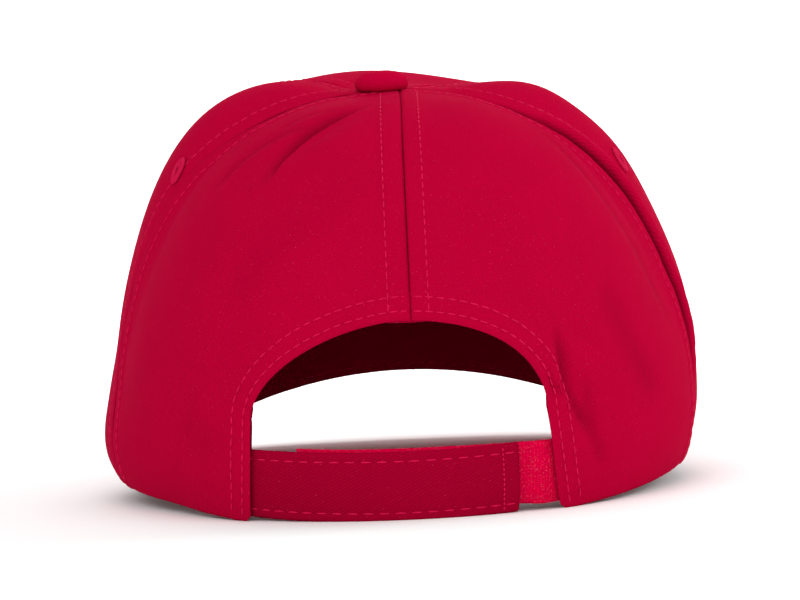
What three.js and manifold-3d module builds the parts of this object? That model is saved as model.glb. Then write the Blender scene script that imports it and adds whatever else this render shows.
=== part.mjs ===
// Five panel cap with an arched back opening that a hook-and-loop strap closes.
// Millimetres, +Z up. The front and the peak face -Y, and the wearer's left is +X.
// The crown is worked out in the rim's own frame. The whole cap is then tilted to rest on its peak and back.
import * as THREE from "three";
import { mergeVertices } from "three/addons/utils/BufferGeometryUtils.js";
import Module from "manifold-3d";

// Cloth
const CLOTH = 1.5; // wall of a crown panel with its seam tape
const CLEARANCE = 0.3; // between pieces that touch

// Crown
const CROWN_HALF_WIDTH = 84.5;
const CROWN_HALF_LENGTH = 106;
const CROWN_HEIGHT = 109.5; // from the back rim to the button's seat
const BUTTON_BACK = 12; // the button sits behind the middle of the crown
const BUTTON_SIDE = 2.6; // and off it, towards the wearer's left
const FRONT_RISE = 14; // the rim's centre front above its back
const RIM_TUCK = 4; // the rim draws in under the widest part
const RIM_TUCK_HEIGHT = 18;
const BACK_SEAM = 76; // degrees from the centre back
const FRONT_SEAM = 128;
const SEAM_SIDE = 2.7; // the centre back seam lies off the middle, towards the wearer's right
const PANEL_TIP_RADIUS = 4; // where the five panels end under the button
const SEAT_RADIUS = 11.3; // the even place round the button
const PANEL_SWELL = 4; // how far the fullest panel stands out between its seams
const FORM_DEPTH = 3; // how far the crown's uneven places stand out or sink in
const FORM_FADE = 8; // they fade out over this part of the way up, one eighth, below the seat
const CREASE_DEPTH = 2.4;

// Arched opening and the ears beside it
const ARCH_HEIGHT = 54;
const EAR_HEIGHT = 28;

// Peak
const PEAK_THICKNESS = 3;
const PEAK_REACH = 68; // ahead of the rim's centre front
const PEAK_HALF_WIDTH = 88;
const PEAK_WIDEST_AHEAD = 38; // of the temples, where the peak leaves the rim
const PEAK_TEMPLE = 116; // degrees from the centre back
const PEAK_BEND_RADIUS = 150;
const PEAK_SLOPE = 0.15; // fall for each millimetre forward
const PEAK_EDGE_ROUND = 0.7;

// Sweatband
const BAND_THICKNESS = 1;
const BAND_HEIGHT = 30;
const BAND_CLEARANCE = 0.65; // inside the panels and behind the peak's inner edge
const BAND_LIFT = 1; // its lower edge above the rim
const BAND_END = 33; // degrees from the centre back
const BAND_DIP_START = 108; // degrees from the centre back, where it starts to dip behind the peak
const BAND_BLEND = 6; // degrees over which it dips, and steps in over the straps' roots
const BAND_ROOT_MARGIN = 8; // degrees past a strap's root

// Strap and loop strip
const STRAP_THICKNESS = 1.8;
const STRAP_HEIGHT = 19.5;
const STRAP_LIFT = 0.6;
const STRAP_LENGTH = 90;
const STRAP_ROOT = 14; // length sewn under an ear
const LOOP_THICKNESS = 1.5;
const LOOP_HEIGHT = 18;
const LOOP_LENGTH = 83;
const STEP_LENGTH = 6.5; // over which the loop strip steps in under the strap
const STEP_MARGIN = 1; // from the step to the strap's end

// Button and eyelets
const BUTTON_RADIUS = 7.65;
const BUTTON_HEIGHT = 4.6;
const BUTTON_EDGE = 1.2;
const EYELET_RADIUS = 4.4;
const EYELET_HOLE_RADIUS = 1.5;
const EYELET_THICKNESS = 0.8;
const PUNCH_LENGTH = 9; // the tool that cuts an eyelet's hole through the panel

const REST_SETTLE = 0.3; // how far the ears' lower corners are pressed flat by the cap's weight

// Facets: columns across and rows up
const BACK_GRID = [24, 16];
const SIDE_GRID = [14, 16];
const FRONT_GRID = [26, 16];
const BAND_GRID = [60, 5];
const STRAP_GRID = [20, 4];
const LOOP_GRID = [22, 4];
const PEAK_GRID = [28, 9];
const ROW_CROWDING = 1.7; // a panel's rows lie closer together near the rim, where it curves under
const BUTTON_SEGMENTS = 24;
const BUTTON_STEPS = 7;
const EYELET_SEGMENTS = 20;
const PUNCH_SEGMENTS = 16;

const ROUNDS = 6; // after which a search has settled
const CLOSE = 0.001;

// The crown's upright sections by their turn from the centre back. Power 2 is an ellipse, and more is fuller.
const SECTIONS = [
  { turn: 0, power: 2.3, tuck: 0.3 },
  { turn: 75, power: 2.5, tuck: 0.8 },
  { turn: 105, power: 4.2, tuck: 1 },
  { turn: 128, power: 4.2, tuck: 0.6 },
  { turn: 180, power: 4.4, tuck: 0.3 },
];

// The panels round the crown: swell is a share of the fullest, and crest the height share where it is most.
const PANELS = [
  { name: "back_panel_left", from: 0, to: BACK_SEAM, swell: 0.48, crest: 0.46 },
  { name: "side_panel_left", from: BACK_SEAM, to: FRONT_SEAM, swell: 0.62, crest: 0.46 },
  { name: "front_panel", from: FRONT_SEAM, to: 360 - FRONT_SEAM, swell: 1, crest: 0.64 },
  { name: "side_panel_right", from: 360 - FRONT_SEAM, to: 360 - BACK_SEAM, swell: 0.62, crest: 0.46 },
  { name: "back_panel_right", from: 360 - BACK_SEAM, to: 360, swell: 0.48, crest: 0.46 },
];

// Uneven places of the worn crown: depth is a share, and wide (degrees) and tall are half spreads.
const FORMS = [
  { turn: 88, up: 0.08, depth: 1, wide: 30, tall: 0.12 }, // the left side flares to the rim
  { turn: 97, up: 0.025, depth: 0.9, wide: 24, tall: 0.035 },
  { turn: 88, up: 0.125, depth: -0.3, wide: 30, tall: 0.04 },
  { turn: 56, up: 0, depth: -0.7, wide: 16, tall: 0.09 },
  { turn: -88, up: 0.1, depth: 0.55, wide: 30, tall: 0.11 }, // so does the right, less and higher
  { turn: -95, up: 0.18, depth: 0.6, wide: 30, tall: 0.08 },
  { turn: 130, up: 0.6, depth: 1, wide: 40, tall: 0.25 }, // the left shoulder is fuller
  { turn: 105, up: 0.7, depth: 0.2, wide: 25, tall: 0.12 },
  { turn: -100, up: 0.45, depth: -0.45, wide: 30, tall: 0.16 },
  { turn: -112, up: 0.58, depth: 0.3, wide: 25, tall: 0.1 },
  { turn: -150, up: 0.75, depth: -0.6, wide: 25, tall: 0.15 },
];

// Creases run from one place to another: depth is a share, and spread is the half width in millimetres.
const CREASES = [
  { from: [18, 0.8], to: [38, 0.56], depth: 1, spread: 4.5 }, // falls away from the button on the left
  { from: [34, 0.68], to: [52, 0.46], depth: 0.4, spread: 5 },
  { from: [-62, 0.62], to: [-73, 0.22], depth: 0.8, spread: 3.5 }, // along the right back seam
  { from: [-30, 0.21], to: [-38, 0.13], depth: 0.5, spread: 3 }, // puckers beside the right ear
  { from: [-33, 0.26], to: [-43, 0.19], depth: 0.4, spread: 3 },
];

// The opening's edge on each side: bow is the power of its curve, and lean moves the ear's foot out.
const EARS = {
  left: { side: 1, halfWidth: 41, lean: 2.2, bow: 1.7 },
  right: { side: -1, halfWidth: 38, lean: 3.2, bow: 2.05 },
};

const RED = 0xb4002f;
const LOOP_RED = 0xd0043a;

const { PI, abs, acos, asin, atan2, cos, exp, hypot, max, min, sin, sqrt } = Math;
const radians = (degrees) => (degrees * PI) / 180;
const degrees = (angle) => (angle * 180) / PI;
const clamp = (value) => min(1, max(0, value));
const mix = (a, b, share) => a + (b - a) * share;
const smooth = (value) => clamp(value) ** 2 * (3 - 2 * clamp(value));

// The turn counted from the centre back to either side: 0 to 180.
const fold = (turn) => abs(((((turn + 180) % 360) + 360) % 360) - 180);
// The turn counted to the wearer's left, negative to the right.
const signed = (turn) => ((((turn + 180) % 360) + 360) % 360) - 180;

// A column of a table that is sorted by turn, read between its rows.
function between(rows, turn, column) {
  const at = fold(turn);
  const next = max(1, rows.findIndex((row) => row.turn >= at));
  const [a, b] = [rows[next - 1], rows[next]];
  return mix(a[column], b[column], smooth((at - a.turn) / (b.turn - a.turn)));
}

// The rim seen from above, before it rises at the front.
function rimPlan(turn) {
  const tuck = RIM_TUCK * between(SECTIONS, turn, "tuck");
  return [(CROWN_HALF_WIDTH - tuck) * sin(radians(turn)), (CROWN_HALF_LENGTH - tuck) * cos(radians(turn))];
}

// The height of the peak's upper face, a bent sheet that falls forward.
function peakTop(x, y) {
  const bend = PEAK_BEND_RADIUS - sqrt(max(0, PEAK_BEND_RADIUS ** 2 - x ** 2));
  return FRONT_RISE - CLEARANCE + PEAK_SLOPE * (y - rimPlan(180)[1]) - bend;
}

// The rim follows the peak between the temples, and comes down to the back rim's level behind them.
const RISE_START = 95;
function clearOfPeak(turn, x, y) {
  return (peakTop(x, y) + CLEARANCE) * smooth((fold(turn) - RISE_START) / (PEAK_TEMPLE - RISE_START));
}

const rimHeight = (turn) => clearOfPeak(turn, ...rimPlan(turn));

// Heights along the crown run from 0 at the rim to 1 at the button.
function upAtClimb(turn, climb) {
  return 1 - (1 - (climb * 2) / PI) ** (2 / between(SECTIONS, turn, "power"));
}

function upAtHeight(turn, z) {
  const rim = rimHeight(turn);
  return upAtClimb(turn, asin((z - rim) / (CROWN_HEIGHT - rim)));
}

// The height share where the crown has drawn in to a radius round the button.
function upAtRadius(turn, radius) {
  const share = radius / CROWN_HALF_WIDTH;
  return upAtClimb(turn, acos(share ** (between(SECTIONS, turn, "power") / 2)));
}

// The crown's size at a height as a share of its size at the rim, and how far it has climbed as an angle.
function sizeAt(turn, up) {
  const power = between(SECTIONS, turn, "power");
  const climb = (PI / 2) * (1 - max(0, 1 - up) ** (power / 2));
  return { climb, share: cos(climb) ** (2 / power) };
}

// The crown before its panels swell and crease.
function shell(turn, up) {
  const { climb, share } = sizeAt(turn, up);
  const rim = rimHeight(turn);
  const z = rim + (CROWN_HEIGHT - rim) * sin(climb);
  const tuck = RIM_TUCK * between(SECTIONS, turn, "tuck") * clamp(1 - (z - rim) / RIM_TUCK_HEIGHT) ** 2;
  return new THREE.Vector3(
    (CROWN_HALF_WIDTH * share - tuck) * sin(radians(turn)),
    (CROWN_HALF_LENGTH * share - tuck) * cos(radians(turn)) + BUTTON_BACK * max(0, sin(climb)) ** 2,
    z,
  );
}

// The crown's outward direction. Under the button, where the turns close in, it is read from just below.
function outward(turn, up) {
  const [turnStep, upStep, highest] = [0.4, 0.004, 0.95];
  const height = min(highest, up);
  const across = shell(turn + turnStep, height).sub(shell(turn - turnStep, height));
  return shell(turn, height + upStep).sub(shell(turn, height - upStep)).cross(across).normalize();
}

// The centre seam's turn at a height: it keeps its distance from the middle.
function centreSeam(up) {
  return -degrees(asin(SEAM_SIDE / (CROWN_HALF_WIDTH * sizeAt(0, up).share)));
}

// How far a crease sinks at a place: most along its middle, and nothing past its ends.
const creaseLines = CREASES.map((crease) => ({
  ...crease,
  line: new THREE.Line3(shell(...crease.from), shell(...crease.to)),
}));
function creaseAt(point) {
  return creaseLines.reduce((sum, { line, depth, spread }) => {
    const along = line.closestPointToPointParameter(point, false);
    const away = line.at(along, new THREE.Vector3()).distanceTo(point);
    const fade = smooth((0.5 - abs(along - 0.5)) / 0.5);
    return sum + CREASE_DEPTH * depth * fade * exp(-((away / spread) ** 2));
  }, 0);
}

// How far a panel swells out between its seams: nothing at the seams, and nothing under the button.
function swellAt(turn, up) {
  const height = clamp(up / upAtRadius(turn, SEAT_RADIUS));
  const fromSeam = centreSeam(min(up, upAtRadius(0, SEAT_RADIUS))) * max(0, 1 - fold(turn) / BACK_SEAM);
  const full = (((turn - fromSeam) % 360) + 360) % 360;
  const panel = PANELS.find(({ to }) => full <= to);
  const across = sin(PI * clamp((full - panel.from) / (panel.to - panel.from)));
  const rise = height < panel.crest ? height / panel.crest : (1 - height) / (1 - panel.crest);
  return PANEL_SWELL * panel.swell * across * sin((PI / 2) * rise);
}

// How far the crown's uneven places stand out at a place.
function formAt(turn, up) {
  const belowSeat = smooth((1 - up / upAtRadius(turn, SEAT_RADIUS)) * FORM_FADE);
  return FORMS.reduce((sum, form) => {
    const away = (signed(turn - form.turn) / form.wide) ** 2 + ((up - form.up) / form.tall) ** 2;
    return sum + FORM_DEPTH * form.depth * belowSeat * exp(-away);
  }, 0);
}

// A place on the crown, a depth in from its outer face.
function crown(turn, up, depth = 0) {
  const point = shell(turn, up);
  const standOut = swellAt(turn, up) + formAt(turn, up) - creaseAt(point);
  return point.addScaledVector(outward(turn, up), standOut - depth);
}

// A place on what lines the crown, which doesn't follow the panels' swell and creases.
function lining(turn, up, depth) {
  return shell(turn, up).addScaledVector(outward(turn, up), formAt(turn, up) - depth);
}

const crownAtHeight = (turn, z, depth = 0) => crown(turn, upAtHeight(turn, z), depth);

// Half of the seam's clearance, in degrees at this height.
function seamTurn(turn, up) {
  const { share } = sizeAt(turn, up);
  const radius = share * hypot(CROWN_HALF_WIDTH * sin(radians(turn)), CROWN_HALF_LENGTH * cos(radians(turn)));
  return degrees(CLEARANCE / 2 / radius);
}

const rowShare = (share) => share ** ROW_CROWDING;

// The opening's edge, from the arch's top (0) down to the ear's corner (1).
const ARCH_SHARE = 0.72; // of the edge's points that lie on the curve
function openingEdge(ear, share) {
  const out = sin((PI / 2) * clamp(share / ARCH_SHARE)) ** (2 / ear.bow);
  const drop = clamp((share - ARCH_SHARE) / (1 - ARCH_SHARE));
  const x = mix(-ear.side * SEAM_SIDE, ear.halfWidth, out);
  const rise = max(0, 1 - (abs(x) / ear.halfWidth) ** ear.bow) ** (1 / ear.bow);
  const z = mix(EAR_HEIGHT + (ARCH_HEIGHT - EAR_HEIGHT) * rise, 0, drop);
  return turnAndUp(x + ear.lean * drop, z);
}

// The turn and height share of a place on the crown's back, from its distance to the middle and its height.
function turnAndUp(x, z) {
  let turn = BAND_END;
  for (let i = 0; i < ROUNDS; i++) {
    const halfWidth = shell(turn, upAtHeight(turn, z)).x / sin(radians(turn));
    turn = max(CLOSE, degrees(asin(min(1, abs(x) / halfWidth))));
  }
  return [x < 0 ? -turn : turn, upAtHeight(turn, z)];
}

const earTurn = (ear) => openingEdge(ear, 1)[0];

// The rest plane passes through the ears' corners, pressed flat, and under the peak's lowest points.
function restTilt() {
  const corner = shell(earTurn(EARS.right), 0).y;
  let tilt = 0;
  for (let i = 0; i < ROUNDS; i++) {
    let lowest = { fall: Infinity, angle: 0 };
    for (let column = 0; column <= PEAK_GRID[0]; column++) {
      const { y, z } = peak(column / PEAK_GRID[0], 0, PEAK_THICKNESS);
      const fall = z * cos(tilt) - y * sin(tilt);
      if (fall < lowest.fall) lowest = { fall, angle: atan2(REST_SETTLE - z, corner - y) };
    }
    tilt = lowest.angle;
  }
  return tilt;
}

// Cloth that would pass through the rest plane is pressed flat on it.
function settle(point) {
  const up = new THREE.Vector3(0, -sin(TILT), cos(TILT));
  const below = REST_LEVEL - point.dot(up);
  return below > 0 ? point.addScaledVector(up, below) : point;
}

// A closed wall: its outer face at depth 0, its inner face a thickness further in, and the four edges.
function wall(columns, rows, thickness, at) {
  const corners = [];
  for (const depth of [0, thickness])
    for (let j = 0; j <= rows; j++)
      for (let i = 0; i <= columns; i++) corners.push(...at(i / columns, j / rows, depth));
  const faces = [];
  const index = (i, j, inner) => (inner * (rows + 1) + j) * (columns + 1) + i;
  const quad = (a, b, c, d) => faces.push(a, b, c, a, c, d);
  for (let i = 0; i < columns; i++) {
    for (let j = 0; j < rows; j++) {
      quad(index(i, j, 0), index(i, j + 1, 0), index(i + 1, j + 1, 0), index(i + 1, j, 0));
      quad(index(i, j, 1), index(i + 1, j, 1), index(i + 1, j + 1, 1), index(i, j + 1, 1));
    }
    quad(index(i, 0, 0), index(i + 1, 0, 0), index(i + 1, 0, 1), index(i, 0, 1));
    quad(index(i + 1, rows, 0), index(i, rows, 0), index(i, rows, 1), index(i + 1, rows, 1));
  }
  for (let j = 0; j < rows; j++) {
    quad(index(0, j + 1, 0), index(0, j, 0), index(0, j, 1), index(0, j + 1, 1));
    quad(index(columns, j, 0), index(columns, j + 1, 0), index(columns, j + 1, 1), index(columns, j, 1));
  }
  const geometry = new THREE.BufferGeometry();
  geometry.setAttribute("position", new THREE.Float32BufferAttribute(corners, 3));
  geometry.setIndex(faces);
  return geometry;
}

// A place on the crown's front or side, moved up the crown where the peak's upper face would meet it.
function abovePeak(turn, up, depth) {
  const point = crown(turn, up, depth);
  const short = clearOfPeak(turn, point.x, point.y) - point.z;
  if (short < CLOSE) return point;
  return abovePeak(turn, upAtHeight(turn, shell(turn, up).z + short), depth);
}

// The front panel and the side panels.
function uprightPanel({ from, to }, grid) {
  return wall(...grid, CLOTH, (across, along, depth) => {
    const middle = mix(from, to, across);
    const up = upAtRadius(middle, PANEL_TIP_RADIUS) * rowShare(along);
    return settle(abovePeak(middle + seamTurn(middle, up) * (1 - 2 * across), up, depth));
  });
}

// A back panel: its columns rise from the arch, the ear's edge and the rim, and close in on the button.
const EAR_COLUMNS = 0.56; // share of the columns that start on the opening's edge
function backPanel(ear) {
  return wall(...BACK_GRID, CLOTH, (across, along, depth) => {
    const out = ear.side > 0 ? across : 1 - across;
    const [rimTurn, rimUp] =
      out < EAR_COLUMNS
        ? openingEdge(ear, out / EAR_COLUMNS)
        : [mix(earTurn(ear), BACK_SEAM, (out - EAR_COLUMNS) / (1 - EAR_COLUMNS)), 0];
    const share = rowShare(along);
    const straight = mix(rimTurn, BACK_SEAM * out, share);
    const up = mix(rimUp, upAtRadius(straight, PANEL_TIP_RADIUS), share);
    const toSeam = ear.side * centreSeam(up) - openingEdge(ear, 0)[0] * (1 - share);
    const turn = straight + (1 - out) * toSeam;
    const apart = seamTurn(turn, up) * (1 - 2 * out);
    return settle(crown(ear.side * (turn + apart), up, depth));
  });
}

// The peak's outline from the middle of its front (0) to a temple (1), for x of 0 or more.
const PEAK_FRONT_SHARE = 0.74; // of the outline that is the rounded front
const PEAK_FRONT_POWER = 2.3;
function peakOutline(share) {
  const [templeX, templeY] = rimPlan(PEAK_TEMPLE);
  const widestY = templeY - PEAK_WIDEST_AHEAD;
  if (share > PEAK_FRONT_SHARE) {
    const back = (share - PEAK_FRONT_SHARE) / (1 - PEAK_FRONT_SHARE);
    return [mix(PEAK_HALF_WIDTH, templeX, back ** 2), mix(widestY, templeY, back)];
  }
  const angle = ((PI / 2) * share) / PEAK_FRONT_SHARE;
  const front = widestY - (rimPlan(180)[1] - PEAK_REACH);
  return [
    PEAK_HALF_WIDTH * sin(angle) ** (2 / PEAK_FRONT_POWER),
    widestY - front * max(0, cos(angle)) ** (2 / PEAK_FRONT_POWER),
  ];
}

// A place on the peak: across from the left temple to the right one, inward from its outer edge to the rim.
function peak(across, inward, depth) {
  const turn = mix(PEAK_TEMPLE, 360 - PEAK_TEMPLE, across);
  const side = across < 0.5 ? 1 : -1;
  const [outerX, outerY] = peakOutline(abs(2 * across - 1));
  const inner = crown(turn, 0, CLOTH);
  const x = mix(side * outerX, inner.x, inward);
  const y = mix(outerY, inner.y, inward);
  const steep = hypot(x / sqrt(PEAK_BEND_RADIUS ** 2 - x ** 2), PEAK_SLOPE, 1);
  const round = inward === 0 ? PEAK_EDGE_ROUND * (depth ? -1 : 1) : 0;
  return new THREE.Vector3(x, y, peakTop(x, y) - steep * depth - round);
}

const TILT = restTilt();
const REST_LEVEL = REST_SETTLE * cos(TILT) - shell(earTurn(EARS.right), 0).y * sin(TILT);

// The sweatband lies inside the rim, dips behind the peak's inner edge and steps in over the straps' roots.
function sweatband() {
  const dip = PEAK_THICKNESS + BAND_LIFT;
  const rootDepth = STRAP_THICKNESS + CLEARANCE;
  const rootEnd = max(...Object.values(EARS).map(earTurn)) + mmToTurn(STRAP_ROOT) + BAND_ROOT_MARGIN;
  return wall(...BAND_GRID, BAND_THICKNESS, (across, along, depth) => {
    const turn = mix(BAND_END, 360 - BAND_END, across);
    const overPeak = smooth((fold(turn) - BAND_DIP_START) / BAND_BLEND);
    const z = rimHeight(turn) + BAND_LIFT - dip * overPeak + (BAND_HEIGHT + dip * overPeak) * along;
    const inset = rootDepth * smooth((rootEnd - fold(turn)) / BAND_BLEND);
    return settle(lining(turn, upAtHeight(turn, z), CLOTH + BAND_CLEARANCE + inset + depth));
  });
}

// A length along the back rim, in degrees.
const mmToTurn = (length) => degrees(length / CROWN_HALF_WIDTH);

// A ribbon that follows the crown between two turns, its outer face at a depth that may change along it.
function ribbon(from, to, height, thickness, depthAt, grid) {
  const lower = STRAP_LIFT + (STRAP_HEIGHT - height) / 2;
  return wall(...grid, thickness, (across, along, depth) => {
    const turn = mix(from, to, across);
    return settle(crownAtHeight(turn, lower + height * along, depthAt(turn) + depth));
  });
}

const strapStart = earTurn(EARS.left) + mmToTurn(STRAP_ROOT);
const strapEnd = strapStart - mmToTurn(STRAP_LENGTH);
const loopStart = -earTurn(EARS.right) - mmToTurn(STRAP_ROOT);
const underEar = CLOTH + CLEARANCE;

function strap() {
  return ribbon(strapEnd, strapStart, STRAP_HEIGHT, STRAP_THICKNESS, () => underEar, STRAP_GRID);
}

function loopStrip() {
  const underStrap = underEar + STRAP_THICKNESS + CLEARANCE;
  const stepEnd = strapEnd - mmToTurn(STEP_MARGIN);
  const loopEnd = loopStart + mmToTurn(LOOP_LENGTH);
  const depthAt = (turn) => mix(underStrap, underEar, smooth((stepEnd - turn) / mmToTurn(STEP_LENGTH)));
  return ribbon(loopStart, loopEnd, LOOP_HEIGHT, LOOP_THICKNESS, depthAt, LOOP_GRID);
}

// The covered button: a flat underside, a rounded edge and a low dome.
function topButton() {
  const profile = [new THREE.Vector2(0, 0), new THREE.Vector2(BUTTON_RADIUS - BUTTON_EDGE / 2, 0)];
  for (let i = 0; i < BUTTON_STEPS; i++) {
    const angle = ((PI / 2) * i) / BUTTON_STEPS;
    const dome = (BUTTON_HEIGHT - BUTTON_EDGE) * sin(angle);
    profile.push(new THREE.Vector2(BUTTON_RADIUS * cos(angle), BUTTON_EDGE + dome));
  }
  profile.push(new THREE.Vector2(0, BUTTON_HEIGHT));
  return new THREE.LatheGeometry(profile, BUTTON_SEGMENTS).rotateX(PI / 2);
}

// Where the eyelets' middles lie: the worn crown carries the right one lower and further forward.
const EYELETS = {
  left: { turn: 87, up: 0.44 },
  right: { turn: -92, up: 0.38 },
};

// A place near an eyelet's middle, from millimetres across and up.
function nearEyelet({ turn, up }, right, above, depth) {
  const here = crown(turn, up);
  const [turnStep, upStep] = [1, 0.01];
  const perTurn = here.distanceTo(crown(turn + turnStep, up)) / turnStep;
  const perUp = here.distanceTo(crown(turn, up + upStep)) / upStep;
  return crown(turn + right / perTurn, up + above / perUp, depth);
}

// The eyelet's embroidered ring lies on the panel, thinner at both of its edges.
const EYELET_SECTION = [
  { outward: 0, rise: 0 },
  { outward: 1, rise: 0 },
  { outward: 0.8, rise: 1 },
  { outward: 0.25, rise: 1 },
];
function eyelet(place) {
  const corners = [];
  const faces = [];
  const count = EYELET_SECTION.length;
  for (let i = 0; i < EYELET_SEGMENTS; i++) {
    const angle = (2 * PI * i) / EYELET_SEGMENTS;
    const next = (i + 1) % EYELET_SEGMENTS;
    EYELET_SECTION.forEach((corner, k) => {
      const radius = mix(EYELET_HOLE_RADIUS, EYELET_RADIUS, corner.outward);
      const depth = -CLEARANCE - EYELET_THICKNESS * corner.rise;
      corners.push(...nearEyelet(place, radius * cos(angle), radius * sin(angle), depth));
      const [a, b] = [i * count + k, i * count + ((k + 1) % count)];
      const [c, d] = [next * count + ((k + 1) % count), next * count + k];
      faces.push(a, b, c, a, c, d);
    });
  }
  const geometry = new THREE.BufferGeometry();
  geometry.setAttribute("position", new THREE.Float32BufferAttribute(corners, 3));
  geometry.setIndex(faces);
  return geometry;
}

const wasm = await Module();
wasm.setup();

function solidOf(geometry) {
  const bare = geometry.clone();
  bare.deleteAttribute("normal");
  bare.deleteAttribute("uv");
  const merged = mergeVertices(bare);
  const mesh = { numProp: 3, vertProperties: merged.attributes.position.array };
  return new wasm.Manifold(new wasm.Mesh({ ...mesh, triVerts: new Uint32Array(merged.index.array) }));
}

// A side panel with its eyelet's hole cut through.
function pierced(panel, { turn, up }) {
  const middle = crown(turn, up, CLOTH / 2);
  const axis = outward(turn, up);
  const radius = EYELET_HOLE_RADIUS;
  const punch = new THREE.CylinderGeometry(radius, radius, PUNCH_LENGTH, PUNCH_SEGMENTS);
  punch.applyQuaternion(new THREE.Quaternion().setFromUnitVectors(new THREE.Vector3(0, 1, 0), axis));
  punch.translate(...middle);
  const cut = solidOf(panel).subtract(solidOf(punch)).getMesh();
  const geometry = new THREE.BufferGeometry();
  geometry.setAttribute("position", new THREE.BufferAttribute(cut.vertProperties, 3));
  geometry.setIndex(new THREE.BufferAttribute(cut.triVerts, 1));
  return geometry;
}

const twill = new THREE.MeshStandardMaterial({ color: RED, roughness: 0.85, metalness: 0 });
const brushedLoop = new THREE.MeshStandardMaterial({ color: LOOP_RED, roughness: 0.95, metalness: 0 });

const cap = new THREE.Group();
cap.rotation.x = -TILT;

function add(name, geometry, material = twill) {
  const mesh = new THREE.Mesh(geometry, material);
  mesh.name = name;
  cap.add(mesh);
  return mesh;
}

const [backLeft, sideLeft, front, sideRight, backRight] = PANELS;
add(backLeft.name, backPanel(EARS.left));
add(sideLeft.name, pierced(uprightPanel(sideLeft, SIDE_GRID), EYELETS.left));
add(front.name, uprightPanel(front, FRONT_GRID));
add(sideRight.name, pierced(uprightPanel(sideRight, SIDE_GRID), EYELETS.right));
add(backRight.name, backPanel(EARS.right));
add("top_button", topButton()).position.set(BUTTON_SIDE, BUTTON_BACK, CROWN_HEIGHT + CLEARANCE);
add("peak", wall(...PEAK_GRID, PEAK_THICKNESS, peak));
add("sweatband", sweatband());
add("strap", strap());
add("loop_strip", loopStrip(), brushedLoop);
add("eyelet_left", eyelet(EYELETS.left));
add("eyelet_right", eyelet(EYELETS.right));

// The origin is under the middle of the cap, on the surface that it rests on.
const root = new THREE.Group();
root.add(cap);
root.updateMatrixWorld(true);
const box = new THREE.Box3().setFromObject(root, true);
const middle = box.getCenter(new THREE.Vector3());
cap.position.set(-middle.x, -middle.y, -box.min.z);

export default root;
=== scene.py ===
"""Builds the cloth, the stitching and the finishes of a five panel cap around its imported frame.

A place on the crown is a turn in degrees from the centre back, towards the wearer's left, and a height
share from the rim (0) to the button (1). Shapes are worked out in millimetres in the rim's own frame, and
to_world lays the tilted cap on the floor in metres.
"""

import math
import random

import bmesh
import bpy
import numpy as np
from mathutils import Matrix, Vector


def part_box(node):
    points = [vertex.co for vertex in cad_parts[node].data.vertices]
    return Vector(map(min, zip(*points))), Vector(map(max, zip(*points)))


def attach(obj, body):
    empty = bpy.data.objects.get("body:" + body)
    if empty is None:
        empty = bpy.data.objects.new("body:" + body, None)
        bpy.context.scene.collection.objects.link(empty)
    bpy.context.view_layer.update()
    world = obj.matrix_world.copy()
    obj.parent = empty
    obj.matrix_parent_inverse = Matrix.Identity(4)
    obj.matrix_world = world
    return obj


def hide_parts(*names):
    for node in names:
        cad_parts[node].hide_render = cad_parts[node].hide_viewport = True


bl_info = {
    "name": "Five panel cap",
    "version": (1, 0, 0),
    "blender": (4, 5, 0),
    "location": "View3D > Sidebar > Cap",
    "description": "Cloth, stitching and finishes of a five panel cap, built around its frame",
    "category": "Add Mesh",
}

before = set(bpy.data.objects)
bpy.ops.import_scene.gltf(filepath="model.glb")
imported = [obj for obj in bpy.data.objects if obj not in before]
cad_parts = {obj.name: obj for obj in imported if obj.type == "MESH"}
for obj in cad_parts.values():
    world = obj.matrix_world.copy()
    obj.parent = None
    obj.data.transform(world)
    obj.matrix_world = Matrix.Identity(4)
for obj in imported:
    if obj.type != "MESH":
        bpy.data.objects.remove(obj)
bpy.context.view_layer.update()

# Crown, in millimetres and degrees
CLEARANCE = 0.3
HALF_WIDTH = 84.5
HALF_LENGTH = 106.0
HEIGHT = 109.5
BUTTON_BACK = 12.0
BUTTON_SIDE = 2.6
FRONT_RISE = 14.0
RIM_TUCK = 4.0
RIM_TUCK_HEIGHT = 18.0
BACK_SEAM = 76.0
FRONT_SEAM = 128.0
SEAM_SIDE = 2.7
SEAM_BOW = 8.0
SEAM_BOW_WIDTH = 22.0
TIP_RADIUS = 4.0
SEAT_RADIUS = 11.3
PANEL_SWELL = 4.0
FORM_DEPTH = 3.0
FORM_FADE = 8.0
CREASE_DEPTH = 2.4
ARCH_HEIGHT = 54.0
EAR_HEIGHT = 28.0
EAR_COLUMNS = 0.56
ARCH_SHARE = 0.72

# Peak
PEAK_THICKNESS = 3.0
PEAK_REACH = 68.0
PEAK_HALF_WIDTH = 88.0
PEAK_WIDEST_AHEAD = 38.0
PEAK_TEMPLE = 116.0
PEAK_BEND_RADIUS = 150.0
PEAK_SLOPE = 0.15
PEAK_FRONT_SHARE = 0.74
PEAK_FRONT_POWER = 2.3
PEAK_INSET = 0.05
PEAK_ROLL = 1.5
PEAK_WELD = 0.2
RISE_START = 95.0

# Crown's wall, sweatband, strap and loop strip, in millimetres and degrees
WALL = 1.5
BAND_THICKNESS = 1.0
BAND_HEIGHT = 30.0
BAND_CLEARANCE = 0.65
BAND_LIFT = 1.0
BAND_END = 33.0
BAND_DIP_START = 108.0
BAND_BLEND = 6.0
BAND_ROOT_MARGIN = 8.0
STRAP_THICKNESS = 1.8
STRAP_HEIGHT = 19.5
STRAP_LIFT = 0.6
STRAP_LENGTH = 92.2
STRAP_ROOT = 14.0
LOOP_HEIGHT = 18.0
LOOP_LENGTH = 90.5
LOOP_RISE = 1.5
STEP_LENGTH = 6.5
STEP_MARGIN = 1.0

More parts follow.
